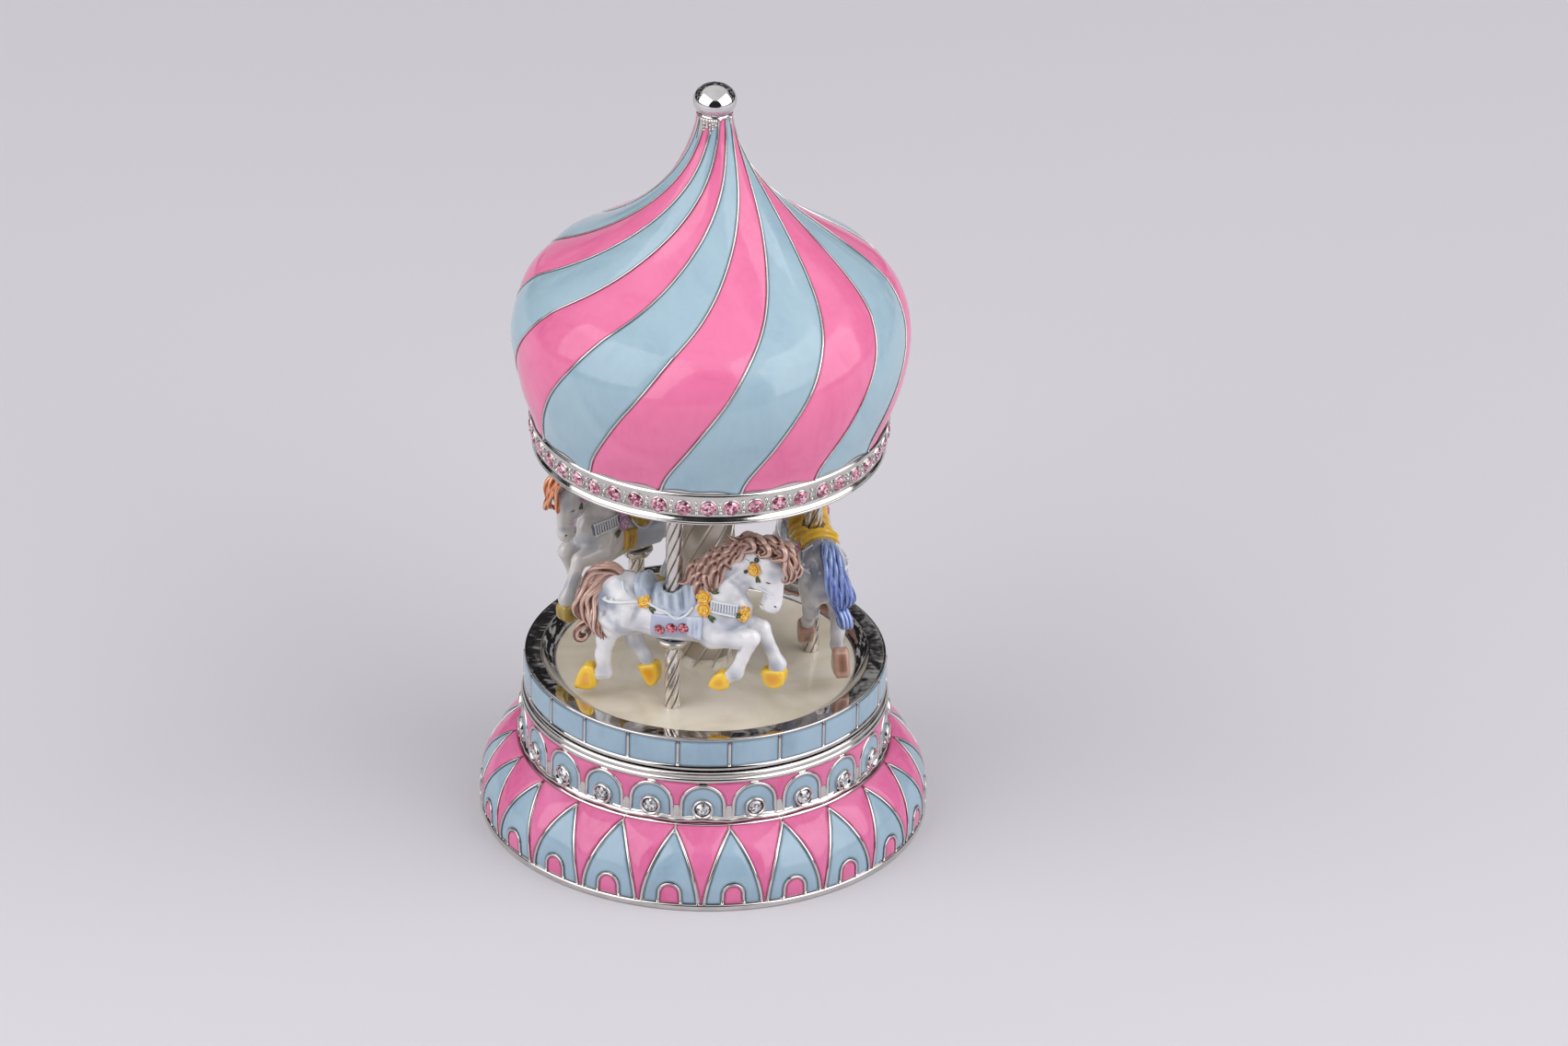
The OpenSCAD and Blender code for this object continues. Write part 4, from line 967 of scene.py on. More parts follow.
class Clay:
    """Round shapes blended on a grid of distances, then skinned, in the horse's own frame."""

    def __init__(self, low, high, cell=0.27):
        self.low, self.cell = np.array(low, float), cell
        self.axes = [np.arange(a, b, cell) for a, b in zip(low, high)]
        self.d = np.full([len(a) for a in self.axes], 9.0, np.float32)

    def window(self, low, high):
        """The part of the grid between two corners, and where its nodes are."""
        cut = tuple(slice(*map(int, np.searchsorted(a, span))) for a, span in zip(self.axes, zip(low, high)))
        x, y, z = (a[c] for a, c in zip(self.axes, cut))
        return cut, np.stack(np.meshgrid(x, y, z, indexing="ij"), -1)

    def blend(self, cut, new, soft):
        old = self.d[cut]
        h = np.clip(0.5 + 0.5 * (old - new) / soft, 0, 1)
        self.d[cut] = old * (1 - h) + new * h - soft * h * (1 - h)

    def limb(self, *points, soft=0.8, flat=1.0):
        """Chain of tapered round limbs through (x, y, z, radius) points; flat < 1 thins it sideways."""
        points = np.array(points, float)
        for a, b in zip(points[:-1], points[1:]):
            reach = max(a[3], b[3]) + soft + 1.2
            cut, p = self.window(np.minimum(a, b)[:3] - reach, np.maximum(a, b)[:3] + reach)
            stretch = np.array([1, 1 / flat, 1])
            pa, ba = (p - a[:3]) * stretch, (b[:3] - a[:3]) * stretch
            h = np.clip(pa @ ba / (ba @ ba), 0, 1)
            self.blend(cut, np.linalg.norm(pa - h[..., None] * ba, axis=-1) - (a[3] + (b[3] - a[3]) * h), soft)

    def ball(self, centre, radii, soft=0.8, pitch=0.0):
        """Ellipsoid, its long axis tipped nose-up by pitch degrees."""
        centre, radii = np.array(centre, float), np.array(radii, float)
        reach = radii.max() + soft + 1.2
        cut, p = self.window(centre - reach, centre + reach)
        p = p - centre
        c, s = math.cos(math.radians(pitch)), math.sin(math.radians(pitch))
        p = np.stack([p[..., 0] * c + p[..., 2] * s, p[..., 1], p[..., 2] * c - p[..., 0] * s], -1)
        k0 = np.linalg.norm(p / radii, axis=-1)
        k1 = np.linalg.norm(p / radii ** 2, axis=-1)
        self.blend(cut, k0 * (k0 - 1) / np.maximum(k1, 1e-6), soft)

    def plate(self, outline, y, half, round_by):
        """Rounded slab whose side view is a convex outline of (x, z) points."""
        soft = 0.3
        lo, hi = outline.min(0), outline.max(0)
        reach = round_by + soft + 1.2
        cut, p = self.window((lo[0] - reach, y - half - reach, lo[1] - reach),
                             (hi[0] + reach, y + half + reach, hi[1] + reach))
        d = signed_distance(p[..., [0, 2]].reshape(-1, 2), outline).reshape(p.shape[:3]) + round_by
        side = np.abs(p[..., 1] - y) - half + round_by
        new = np.minimum(np.maximum(d, side), 0) + np.hypot(np.maximum(d, 0), np.maximum(side, 0)) - round_by
        self.blend(cut, new, soft)

    def carve(self, a, b, radius, soft=0.3):
        """Presses a groove along a line."""
        a, b = np.array(a, float), np.array(b, float)
        reach = radius + soft + 0.5
        cut, p = self.window(np.minimum(a, b) - reach, np.maximum(a, b) + reach)
        pa, ba = p - a, b - a
        h = np.clip(pa @ ba / (ba @ ba + 1e-9), 0, 1)
        new = radius - np.linalg.norm(pa - h[..., None] * ba, axis=-1)
        old = self.d[cut]
        k = np.clip(0.5 - 0.5 * (old - new) / soft, 0, 1)
        self.d[cut] = old * (1 - k) + new * k + soft * k * (1 - k)

    def sample(self, points):
        """Distance at arbitrary points, read between the grid's nodes."""
        q = (np.asarray(points, float) - self.low) / self.cell
        q = np.clip(q, 0, np.array(self.d.shape) - 1.001)
        i = q.astype(int)
        f = q - i
        total = 0
        for corner in np.ndindex(2, 2, 2):
            w = np.prod(np.where(corner, f, 1 - f), -1)
            total = total + w * self.d[tuple((i + corner).T)]
        return total

    def normal(self, points):
        steps = np.eye(3) * 0.3
        return unit(np.stack([self.sample(points + d) - self.sample(points - d) for d in steps], -1))

    def side_point(self, x, z, side):
        """Outermost point of the surface above (x, z) in the side view."""
        ys = np.arange(7, -0.1, -0.1) * side
        d = self.sample(np.c_[np.full(len(ys), x), ys, np.full(len(ys), z)])
        hit = np.argmax(d < 0) if (d < 0).any() else len(ys) - 1
        if hit == 0 or d[hit] >= 0:
            return np.array([x, ys[hit], z])
        t = d[hit - 1] / (d[hit - 1] - d[hit])
        return np.array([x, ys[hit - 1] + (ys[hit] - ys[hit - 1]) * t, z])

    def spot(self, x, z, side):
        """The same point with the surface's normal there."""
        point = self.side_point(x, z, side)
        return point, self.normal(point[None])[0]

    def skin(self, distance=None, relax=2):
        """Quads round the zero surface, their corners relaxed, and how hollow the surface is at each."""
        d = self.d if distance is None else distance
        solid = d < 0
        shape = np.array(d.shape) - 1
        total, count = np.zeros((*shape, 3), np.float32), np.zeros(shape, np.int16)
        for axis in range(3):
            e = np.eye(3, dtype=int)[axis]
            for off in np.ndindex(2, 2, 2):
                if off[axis]:
                    continue
                lo = tuple(slice(o, o + n) for o, n in zip(off, shape))
                hi = tuple(slice(o + k, o + k + n) for o, k, n in zip(off, e, shape))
                cross = solid[lo] != solid[hi]
                a, b = d[lo][cross], d[hi][cross]
                total[cross] += np.array(off) + (a / (a - b))[:, None] * e
                count[cross] += 1
        active = count > 0
        index = np.full(shape, -1)
        index[active] = np.arange(active.sum())
        cells = np.argwhere(active)
        verts = (cells + total[active] / count[active][:, None]) * self.cell + self.low
        faces = []
        for axis in range(3):
            e = np.eye(3, dtype=int)[axis]
            u, v = np.eye(3, dtype=int)[(axis + 1) % 3], np.eye(3, dtype=int)[(axis + 2) % 3]
            lo = tuple(slice(1, n) if not k else slice(0, n) for k, n in zip(e, shape))
            hi = tuple(slice(1, n) if not k else slice(1, n + 1) for k, n in zip(e, shape))
            cross = np.argwhere(solid[lo] != solid[hi]) + (1 - e)
            ring = np.stack([index[tuple((cross - o).T)] for o in (u + v, v, 0 * u, u)], 1)
            inward = solid[tuple(cross.T)]
            faces.append(np.where(inward[:, None], ring, ring[:, ::-1]))
        faces = np.concatenate(faces)
        verts, hollow = relaxed(verts, faces, relax)
        return verts, faces, hollow


def relaxed(verts, faces, rounds):
    """Evens out a skin and measures how far each corner lies below its neighbours."""
    a, b = faces.ravel(), np.roll(faces, -1, 1).ravel()
    degree = np.bincount(a, minlength=len(verts)) + np.bincount(b, minlength=len(verts))

    def mean(values):
        out = np.zeros_like(values)
        for k in range(values.shape[1]):
            out[:, k] = np.bincount(a, values[b, k], len(values)) + np.bincount(b, values[a, k], len(values))
        return out / degree[:, None]

    for _ in range(rounds):
        verts = verts + 0.5 * (mean(verts) - verts)
        verts = verts - 0.35 * (mean(verts) - verts)
    corner = verts[faces]
    face_normal = np.cross(corner[:, 2] - corner[:, 0], corner[:, 3] - corner[:, 1])
    normal = np.stack([sum(np.bincount(faces[:, j], face_normal[:, k], len(verts)) for j in range(4))
                       for k in range(3)], -1)
    hollow = ((mean(verts) - verts) * unit(normal)).sum(1)[:, None]
    for _ in range(14):
        hollow = 0.5 * hollow + 0.5 * mean(hollow)
    return verts, hollow[:, 0]


def smooth_path(points, step):
    """Curve through control points (rows of any width), evenly stepped."""
    points = np.asarray(points, float)
    ends = np.vstack([2 * points[0] - points[1], points, 2 * points[-1] - points[-2]])
    out = []
    for i in range(len(points) - 1):
        p0, p1, p2, p3 = ends[i:i + 4]
        n = max(int(np.linalg.norm((p2 - p1)[:3]) / step), 2)
        t = np.linspace(0, 1, n, endpoint=False)[:, None]
        out.append(0.5 * (2 * p1 + (p2 - p0) * t + (2 * p0 - 5 * p1 + 4 * p2 - p3) * t ** 2
                          + (3 * p1 - p0 - 3 * p2 + p3) * t ** 3))
    return np.vstack(out + [points[-1:]])


def strand(parts, points, step=0.26, sections=12, ridges=3, ridge=0.2, turn=0.0, flat=1.0):
    """Closed lock of hair along (x, y, z, radius) control points, its length ribbed by finer hairs."""
    path = smooth_path(points, step)
    p, radius = path[:, :3], np.maximum(path[:, 3], 0.04)
    tangent = unit(np.gradient(p, axis=0))
    side = np.cross(tangent[0], UP)
    if np.linalg.norm(side) < 0.1:
        side = np.cross(tangent[0], (0, 1, 0))
    side /= np.linalg.norm(side)
    t = full_turn(sections * 2)
    crest = np.abs(np.cos(ridges * t / 2))
    rings = []
    for i, (q, r, ahead) in enumerate(zip(p, radius, tangent)):
        side = unit(side - ahead * (side @ ahead))
        other = np.cross(ahead, side)
        a = t + turn * i
        scale = r * (1 - ridge + ridge * crest)
        rings.append(q + side * (scale * np.cos(a))[:, None] + other * (scale * np.sin(a) * flat)[:, None])
    n, count = len(t), len(rings)
    ends = [tuple(range(n))[::-1], tuple(range((count - 1) * n, count * n))]
    # the crest number goes out as shade: the paints darken the grooves with it as painted shade
    parts.add(np.vstack(rings), grid_faces(count, n, False, True) + ends, np.tile(crest, count))


def frame_at(normal):
    """Side, up and out directions of a spot whose normal is given."""
    normal = np.asarray(normal, float) / np.linalg.norm(normal)
    side = np.cross(UP, normal)
    if np.linalg.norm(side) < 0.05:
        side = np.cross((1, 0, 0), normal)
    side /= np.linalg.norm(side)
    return side, np.cross(normal, side), normal


def pebble(parts, centre, axes, radii, cols=10, tone=0.0):
    """Small ellipsoid with given axes."""
    ball, faces = unit_ball(np.linspace(-np.pi / 2, np.pi / 2, 7)[1:-1], cols)
    parts.add(centre + (ball * radii) @ np.array(axes), faces, tone)


def rose(parts, centre, normal, radius, turn=0.0):
    """Open rose: three rings of cupped petals round a bud."""
    side, up, out = frame_at(normal)
    # petals in a ring, how far out they stand, their tilt and their size
    rings = [(6, 0.66, 25, 0.46), (5, 0.4, 48, 0.38), (3, 0.18, 68, 0.28)]
    for ring, (count, at, tilt, size) in enumerate(rings):
        c, s = math.cos(math.radians(tilt)), math.sin(math.radians(tilt))
        for k in range(count):
            a = turn + ring * 0.6 + k * 2 * math.pi / count
            ray = side * math.cos(a) + up * math.sin(a)
            along, facing = ray * c + out * s, out * c - ray * s
            where = centre + radius * (ray * at + out * (0.16 + 0.14 * ring))
            pebble(parts, where, (along, np.cross(facing, along), facing),
                   (radius * size, radius * size, radius * 0.13), tone=0.35 + 0.3 * ring)
    pebble(parts, centre + out * radius * 0.4, (side, up, out),
           (radius * 0.2, radius * 0.2, radius * 0.3), 8, 0.2)


def leaf(parts, centre, normal, direction, length):
    """Two lobes side by side along a direction in the plane of the surface."""
    side, up, out = frame_at(normal)
    ray = side * direction[0] + up * direction[1]
    ray /= np.linalg.norm(ray)
    across = np.cross(out, ray)
    for sign in (-1, 1):
        tip = ray * 0.97 + across * 0.24 * sign
        pebble(parts, centre + ray * length * 0.45 + across * sign * length * 0.13 + out * 0.12,
               (tip, np.cross(out, tip), out), (length * 0.5, length * 0.2, 0.2))


# y of the legs on the viewer's side and on the far side, and the thinning of the whole horse
NEAR, FAR = -2.5, 2.4
HORSE_SLIM = 0.84
# how each head was set when the casting was dressed: turn in degrees, reach and rise in mm
HEADS = {"front": (-14, 0.7, 0.7), "right": (-14, 0.7, 0.7), "left": (10, 0.2, -0.4)}


def horse_body():
    """White body of a galloping carousel horse with its raised nose and flexed legs."""
    clay = Clay((-16.5, -6.4, 1.2), (22.5, 6.4, 39.5))
    clay.ball((7.8, 0, 20.4), (5.9, 4.7, 6.2), 1.5)
    clay.ball((0, 0, 19.2), (9.5, 4.9, 5.3), 2.0, pitch=6)
    clay.ball((-8.9, 0, 19.8), (6.0, 5.0, 5.9), 2.0)
    clay.limb((6.9, 0, 23.5, 5.0), (10.3, 0, 29, 3.9), (13.2, 0, 33.2, 2.8), soft=1.6, flat=0.72)
    clay.ball((12.2, 0, 21.8), (2.4, 3.0, 3.4), 1.5)
    # head, deep through the jaw and narrow at the muzzle
    clay.ball((16.3, 0, 32.2), (3.4, 2.2, 3.3), 1.2)
    clay.ball((15.8, 0, 29.7), (2.6, 2.15, 2.9), 1.0)
    clay.limb((18.2, 0, 32, 2.5), (18.5, 0, 25.9, 1.75), soft=1.0, flat=0.82)
    clay.limb((19.7, 0, 32.6, 1.1), (19.6, 0, 26, 0.8), soft=0.8)
    clay.ball((18.3, 0, 24.7), (1.9, 1.7, 1.9), 0.7)
    clay.ball((17.0, 0, 23.8), (1.1, 1.15, 0.9), 0.5)
    for s in (-1, 1):
        clay.ball((18.6, 1.62 * s, 30.3), (1.2, 0.5, 0.6), 0.4, pitch=-20)
        clay.ball((16.1, 1.5 * s, 29.4), (1.9, 0.8, 2.1), 0.6)
        clay.ball((19.5, 0.95 * s, 25.0), (0.75, 0.55, 0.7), 0.35)
        clay.carve((19.95, 1.45 * s, 24.75), (19.6, 1.6 * s, 25.1), 0.3, 0.15)
        clay.carve((17.3, 2.1 * s, 24.1), (16.2, 2.0 * s, 24.6), 0.22, 0.2)
        clay.carve((17.9, 2.15 * s, 29.35), (19.3, 1.95 * s, 29.55), 0.28, 0.2)
        clay.limb((13.9, 1.3 * s, 33.8, 0.9), (13.9, 1.8 * s, 35.2, 0.55),
                  (14.1, 1.9 * s, 36.0, 0.2), soft=0.4)
        clay.ball((9.0, 2.2 * s, 19.4), (3.3, 2.6, 4.0), 1.2)
        clay.ball((-10.2, 2.3 * s, 18.1), (3.8, 2.7, 4.6), 1.2)
    clay.limb((-10.8, NEAR, 17, 3.2), (-12.0, NEAR, 12.6, 1.7),
              (-12.5, NEAR, 9.0, 1.4), (-12.2, NEAR, 5.9, 1.45), soft=0.9)
    clay.limb((-12.0, NEAR, 5.6, 1.35), (-13.9, NEAR, 4.8, 1.15), soft=0.6)
    clay.limb((-9.2, FAR, 16.5, 3.1), (-8.1, FAR, 11.2, 1.6),
              (-5.9, FAR, 7.9, 1.2), (-5.1, FAR, 6.4, 1.2), soft=0.9)
    clay.limb((8.4, NEAR, 17.9, 3.3), (12.2, NEAR, 17.6, 2.0), (15.4, NEAR, 18.2, 1.6), soft=1.0)
    clay.limb((15.5, NEAR, 18.0, 1.6), (13.9, NEAR, 13.8, 1.12),
              (12.7, NEAR, 10.5, 1.35), (11.0, NEAR, 9.0, 1.1), soft=0.6)
    clay.limb((10.6, FAR, 18.2, 2.8), (16.1, FAR, 18.2, 1.5), soft=0.9)
    clay.limb((16.1, FAR, 18.0, 1.45), (18.0, FAR, 13.9, 1.15),
              (19.2, FAR, 11.3, 1.5), (18.7, FAR, 9.9, 1.35), soft=0.6)
    # elbow, stifle, gaskin and neck hollows
    for s in (-1, 1):
        clay.carve((-5.6, 4.7 * s, 20.6), (-7.2, 5.1 * s, 15.4), 0.8, 0.8)
        clay.carve((-12.9, 4.4 * s, 22.8), (-12.6, 5.0 * s, 19.0), 1.3, 0.9)
        clay.carve((8.6, 3.9 * s, 27.8), (12.4, 2.9 * s, 31.4), 0.9, 0.8)
        clay.carve((11.2, 3.6 * s, 25.4), (13.6, 2.4 * s, 28.0), 0.7, 0.6)
        clay.carve((15.2, 2.9 * s, 27.6), (14.0, 2.7 * s, 31.4), 0.5, 0.5)
        clay.carve((17.2, 2.6 * s, 28.4), (17.4, 2.1 * s, 25.4), 0.45, 0.4)
        for ax, az, bx, bz in ((-12.6, 16.4, -9.4, 14.2), (-13.4, 12.4, -11.6, 11.2), (7.0, 17.2, 9.8, 15.8),
                               (8.2, 27.4, 10.4, 26.2)):
            y = abs(clay.side_point((ax + bx) / 2, (az + bz) / 2, s)[1]) + 0.2
            clay.carve((ax, y * s, az), (bx, y * s, bz), 0.34, 0.5)
    clay.carve((0, 0, 21.5), (0, 0, 30), 2.0, 0.1)
    return clay


HOOVES = [
    ([(-17.6, 2.1), (-16.6, 5.6), (-15.4, 6.9), (-14.0, 6.2), (-13.5, 2.9), (-15.6, 1.8)], NEAR, 1.75),
    ([(-7.0, 6.0), (-5.2, 7.0), (-3.5, 7.1), (-2.9, 4.6), (-4.0, 2.6), (-5.4, 3.0)], FAR, 1.7),
    ([(7.8, 7.0), (8.6, 9.2), (10.2, 10.3), (11.4, 9.3), (11.5, 7.4), (9.6, 6.6)], NEAR, 1.65),
    ([(16.2, 9.7), (18.4, 10.5), (20.6, 10.2), (20.5, 7.6), (18.8, 6.6), (16.8, 7.4)], FAR, 1.7)]


def hooves():
    """Hooves from their side views, the y they stand at and half their width."""
    clay = Clay((-19, -5, 0.6), (22.5, 5, 11.5), 0.22)
    for outline, y, half in HOOVES:
        clay.plate(smooth_path(outline[-1:] + outline + outline[:1], 0.4), y, half, 0.7)
    return clay.skin()


SADDLE = [(-5.6, 22.4), (-3.0, 21.8), (-0.4, 21.5), (2.0, 20.5), (4.4, 22.0), (5.4, 23.9),
          (5.2, 27.5), (4.0, 28.2), (-3.4, 28.5), (-6.6, 28.4), (-7.2, 25.5)]
BLANKET = [(-3.2, 15.2), (6.6, 17.2), (6.5, 21.5), (-2.8, 20.5)]
FRINGE = [(3.9, 16.8), (6.9, 17.4), (6.9, 21.8), (3.9, 21.2)]
BREAST = [(7.6, 22.9), (13.2, 22.0), (13.2, 24.1), (7.6, 25.1)]
POLE_GAP = 1.95


def saddlery(clay):
    """Saddle, blanket, fringe and breast band as skins that follow the body, cut clear of the pole."""
    x, y, z = (a.astype(np.float32) for a in np.meshgrid(*clay.axes, indexing="ij"))
    xs, _, zs = clay.axes
    flat = np.stack(np.meshgrid(xs, zs, indexing="ij"), -1).reshape(-1, 2)

    def worn(outline, thick):
        edge = signed_distance(flat, np.array(outline)).reshape(len(xs), 1, len(zs)).astype(np.float32)
        body = clay.d - thick
        soft = 0.35
        h = np.clip(0.5 + 0.5 * (body - edge) / soft, 0, 1)
        skin = edge * (1 - h) + body * h + soft * h * (1 - h)
        skin = np.where(z > 20, np.maximum(skin, POLE_GAP - np.hypot(x, y * HORSE_SLIM)), skin)
        return clay.skin(skin, 1)

    folds = np.sin((x + 0.35 * (z - 0.2 * x - 21)) * 3.4) * 0.13
    above = np.clip((z - 22.5) / 2, 0, 1)
    seat = np.clip(1 - np.abs(x + 5.2) / 1.9, 0, 1) * above
    pommel = np.clip(1 - np.abs(x - 4.3) / 1.4, 0, 1) * above
    return {"saddle": worn(SADDLE, 0.42 + 1.15 * seat + 0.5 * pommel + folds * (1 - 0.3 * seat)),
            "blanket": worn(BLANKET, 0.5),
            "fringe": worn(FRINGE, 0.68 + np.sin(x * 7) * 0.14),
            "breast": worn(BREAST, 0.3)}


def strap(parts, clay, points, side, radius, lift=0.05):
    """Round cord laid on the body along (x, z) points."""
    path = np.array([clay.side_point(x, z, side) for x, z in smooth_path(points, 0.4)])
    path = path + clay.normal(path) * lift
    strand(parts, np.c_[path, np.full(len(path), radius)][::2], 0.4, 4, 2, 0.0)


def trim(clay):
    """Raised white edges, straps, ribs of the breast strap and pearls."""
    white, pearls = Parts(), Parts()
    for s in (-1, 1):
        strap(white, clay, [(-5.7, 25.8), (-5.9, 24.2), (-5.0, 22.5), (-2.4, 21.7), (0.2, 21.2), (1.9, 20.4),
                            (3.8, 21.4), (5.2, 23.4)], s, 0.26, 0.42)
        strap(white, clay, [(-9.0, 25.0), (-8.0, 23.4), (-6.2, 22.4)], s, 0.25)
        strap(white, clay, [(-12.2, 21.2), (-9.0, 21.6), (-5.6, 22.1)], s, 0.32, 0.2)
        for rise in (0.9, -0.95):
            strap(white, clay, [(7.8, 24.0 + rise), (10.2, 23.6 + rise), (12.8, 23.1 + rise)], s, 0.24, 0.3)
        for k in range(10):
            x, z = 8.3 + k * 0.48, 23.95 - k * 0.09
            strap(white, clay, [(x - 0.05, z + 0.75), (x, z), (x + 0.05, z - 0.75)], s, 0.19, 0.36)
        strap(white, clay, [(13.9, 33.5), (14.9, 32.6), (15.2, 31.5)], s, 0.2)
        strap(white, clay, [(19.4, 27.6), (18.2, 27.5), (16.9, 27.9), (16.0, 28.9)], s, 0.17)
        for x, z in ((-11.6, 21.5), (-10.3, 21.8), (-9.1, 21.7), (-3.6, 21.9), (1.9, 20.2)):
            p, n = clay.spot(x, z, s)
            pebble(pearls, p + n * 0.15, frame_at(n), (0.42, 0.42, 0.35))
    return white, pearls


# x, z, size and turn of each rose; x, z, direction and length of each leaf; x, z and radius of each bud
ROSES = [(-4.5, 22.2, 1.35, 0), (6.8, 25.1, 1.4, 1), (7.1, 23.0, 1.3, 2), (15.9, 31.7, 1.3, 3)]
LEAVES = [(-3.4, 21.3, 1, -0.5, 1.5), (8.1, 26.2, 1, 0.5, 1.5), (8.2, 24.1, 1, 0.1, 1.2),
          (7.9, 22.0, 1, -0.5, 1.6), (16.4, 30.5, 0.3, -1, 1.4)]
BUDS = [(15.3, 32.7, 0.5), (16.1, 33.6, 0.55), (14.0, 31.0, 0.4)]


def flowers(clay):
    """Roses, leaves and dark buds on both flanks, and one rose on the breast."""
    petals, leaves, dark = Parts(), Parts(), Parts()
    for s in (-1, 1):
        for x, z, radius, turn in ROSES:
            p, n = clay.spot(x, z, s)
            n = (n + np.array([0, s, 0.3])) / 2
            rose(petals, p + n * 0.15, n, radius, turn)
        for x, z, dx, dz, length in LEAVES:
            leaf(leaves, *clay.spot(x, z, s), (-s * dx, dz), length)
        for x, z, r in BUDS:
            p, n = clay.spot(x, z, s)
            pebble(dark, p + n * 0.2, frame_at(n), (r, r, 0.3))
    front = np.array([13.5, -1.9, 22.3])
    rose(petals, front, np.array([1, -0.8, 0.3]), 1.45, 0.5)
    for s in (-1, 1):
        leaf(leaves, front + np.array([0, s * 0.8, 0]), np.array([1, s * 0.6, 0.3]), (s, 0.3), 1.5)
    return petals, leaves, dark


def eyes(clay):
    """Eye, nostril and mouth line of each cheek."""
    dark = Parts()
    for s in (-1, 1):
        for x, z, rx, rz in ((18.5, 29.62, 0.5, 0.16), (19.75, 24.95, 0.26, 0.2), (16.7, 24.35, 0.5, 0.08)):
            p, n = clay.spot(x, z, s)
            pebble(dark, p + n * 0.02, frame_at(n), (rx, rz, 0.14))
    return dark


def wavy(points, radii, amount, waves, phase):
    """Adds a sideways and lengthways wave to a lock of hair."""
    path = smooth_path(np.c_[points, radii], 0.7)
    t = np.linspace(0, 1, len(path))
    across = np.cross(unit(np.gradient(path[:, :3], axis=0)), (0, 1, 0))
    fade = np.minimum(t * 3, 1)[:, None] * amount
    path[:, :3] += across * np.sin(t * waves * 2 * np.pi + phase)[:, None] * fade
    path[:, 1] += np.cos(t * waves * 2 * np.pi + phase) * fade[:, 0] * 0.6
    return path


# y, lift and reach of each lock of the forelock
FORELOCK = [(-1.6, -0.1, 0.4), (-0.8, 0.4, 0.9), (0.0, 0.6, 1.1), (0.8, 0.4, 0.8), (1.6, 0.0, 0.4)]


def mane(seed, crown=True):
    """Flame-shaped locks that trail back along the neck, a forelock over the brow and crown curls."""
    shade = np.random.default_rng(seed)
    locks = Parts()
    crest = smooth_path([(5.4, 0, 28.8), (7.6, 0, 30.6), (10.4, 0, 32.8), (13.2, 0, 34.5), (16.2, 0, 35.6)], 2.1)
    core = smooth_path([(3.8, 0, 26.4), (5.2, 0, 28.6), (8.0, 0, 31.0), (11.0, 0, 33.3), (16.4, 0, 35.9)], 1.0)
    strand(locks, np.c_[core, np.full(len(core), 1.1)], 0.5, 8, 0, 0.0)
    last = len(crest) - 1
    for i, root in enumerate(crest):
        t = i / last
        ahead = crest[min(i + 1, last)] - crest[max(i - 1, 0)]
        ahead /= np.linalg.norm(ahead)
        out = np.array([-ahead[2], 0, ahead[0]])
        for s, layer in ((0, 0), (-1, 0), (1, 0), (-1, 1), (1, 1), (-1, 2), (1, 2)):
            w = shade.uniform(-0.4, 0.4, 8)
            if t > 1.1 - 0.3 * layer:
                continue
            length = (0.95 + 0.7 * w[4]) * (0.8 if layer == 2 else 1)
            lean = w[6] * 0.9 + 0.25 * layer
            back = -ahead * math.cos(lean) - out * math.sin(lean) - UP * 0.5 * (1 - t)
            back /= np.linalg.norm(back)
            side = np.array([0, s, 0])
            rise, spread = 1.3 - 1.1 * layer, 0.55 + 0.6 * layer
            base = root + side * (spread + 0.4) + ahead * w[7]
            # rise, way back and way out of each control point
            course = [(-0.9, 0, 0), (0.35 + w[0], 0.5, 0.45), (0.2 + w[1], 1.7 * length, 0.75),
                      (-0.6 + w[2], 3.0 * length, 0.7 + w[5]), (-0.7 + w[3], 4.2 * length, 0.5),
                      (-0.1 + 2 * w[3], 5.2 * length, 0.6)]
            points = [base + out * (rise + up) + back * behind + side * beside for up, behind, beside in course]
            radii = np.array([0.6, 1.05, 1.15, 0.95, 0.6, 0.08]) * (1 + 0.6 * w[5])
            strand(locks, np.c_[points, radii], turn=0.06, flat=0.7)
    curled = dict(ridge=0.22, turn=0.1, flat=0.8)
    for k, (y, lift, reach) in enumerate(FORELOCK):
        w = shade.uniform(-0.35, 0.35, 5)
        tip = 21.3 + reach * 0.6
        points = [(14.6, y * 0.5, 35.6 + 0.4 * lift), (17.0, y * 0.8, 36.8 + lift * 0.7),
                  (19.4, y, 36.6 + lift * 0.7 + w[0]), (tip, y * 1.1, 35.3 + lift * 0.5 + w[1]),
                  (22.1 + reach * 0.8, y * 1.15 + w[2], 33.6 + w[4]),
                  (22.5 + reach * 0.4, y * 1.2 + w[3], 32.0 - lift * 0.4),
                  (tip + 0.5, y * 1.3, 31.0 + w[4]), (tip, y * 1.3, 31.6)]
        if crown or k < 4:
            radii = [0.6, 0.95, 1.0, 0.9, 0.8, 0.65, 0.4, 0.1]
            strand(locks, wavy(points, radii, 0.5, 2.6, k * 1.7), **curled)
    for k in range(7 if crown else 0):
        w = shade.uniform(-0.5, 0.5, 4)
        x, y = 13.6 + k * 1.15, (-1.7, -0.6, -1.3)[k % 3]
        curl = [(-0.6, 0.5, 35.9, 0.5), (0.5, 1.1, 36.9 + w[0], 0.95), (1.6, 1.3, 36.8 + w[0], 1.0),
                (2.0 + w[1], 1.45, 36.0, 0.9), (1.2 + w[1], 1.55, 35.3 + w[2], 0.65),
                (0.2, 1.6, 34.9 + w[2], 0.45), (-0.3, 1.6, 35.6 + w[3], 0.25), (0.2, 1.6, 36.0, 0.08)]
        strand(locks, [(x + dx, y * wide, z, r) for dx, wide, z, r in curl], **curled)
    return locks


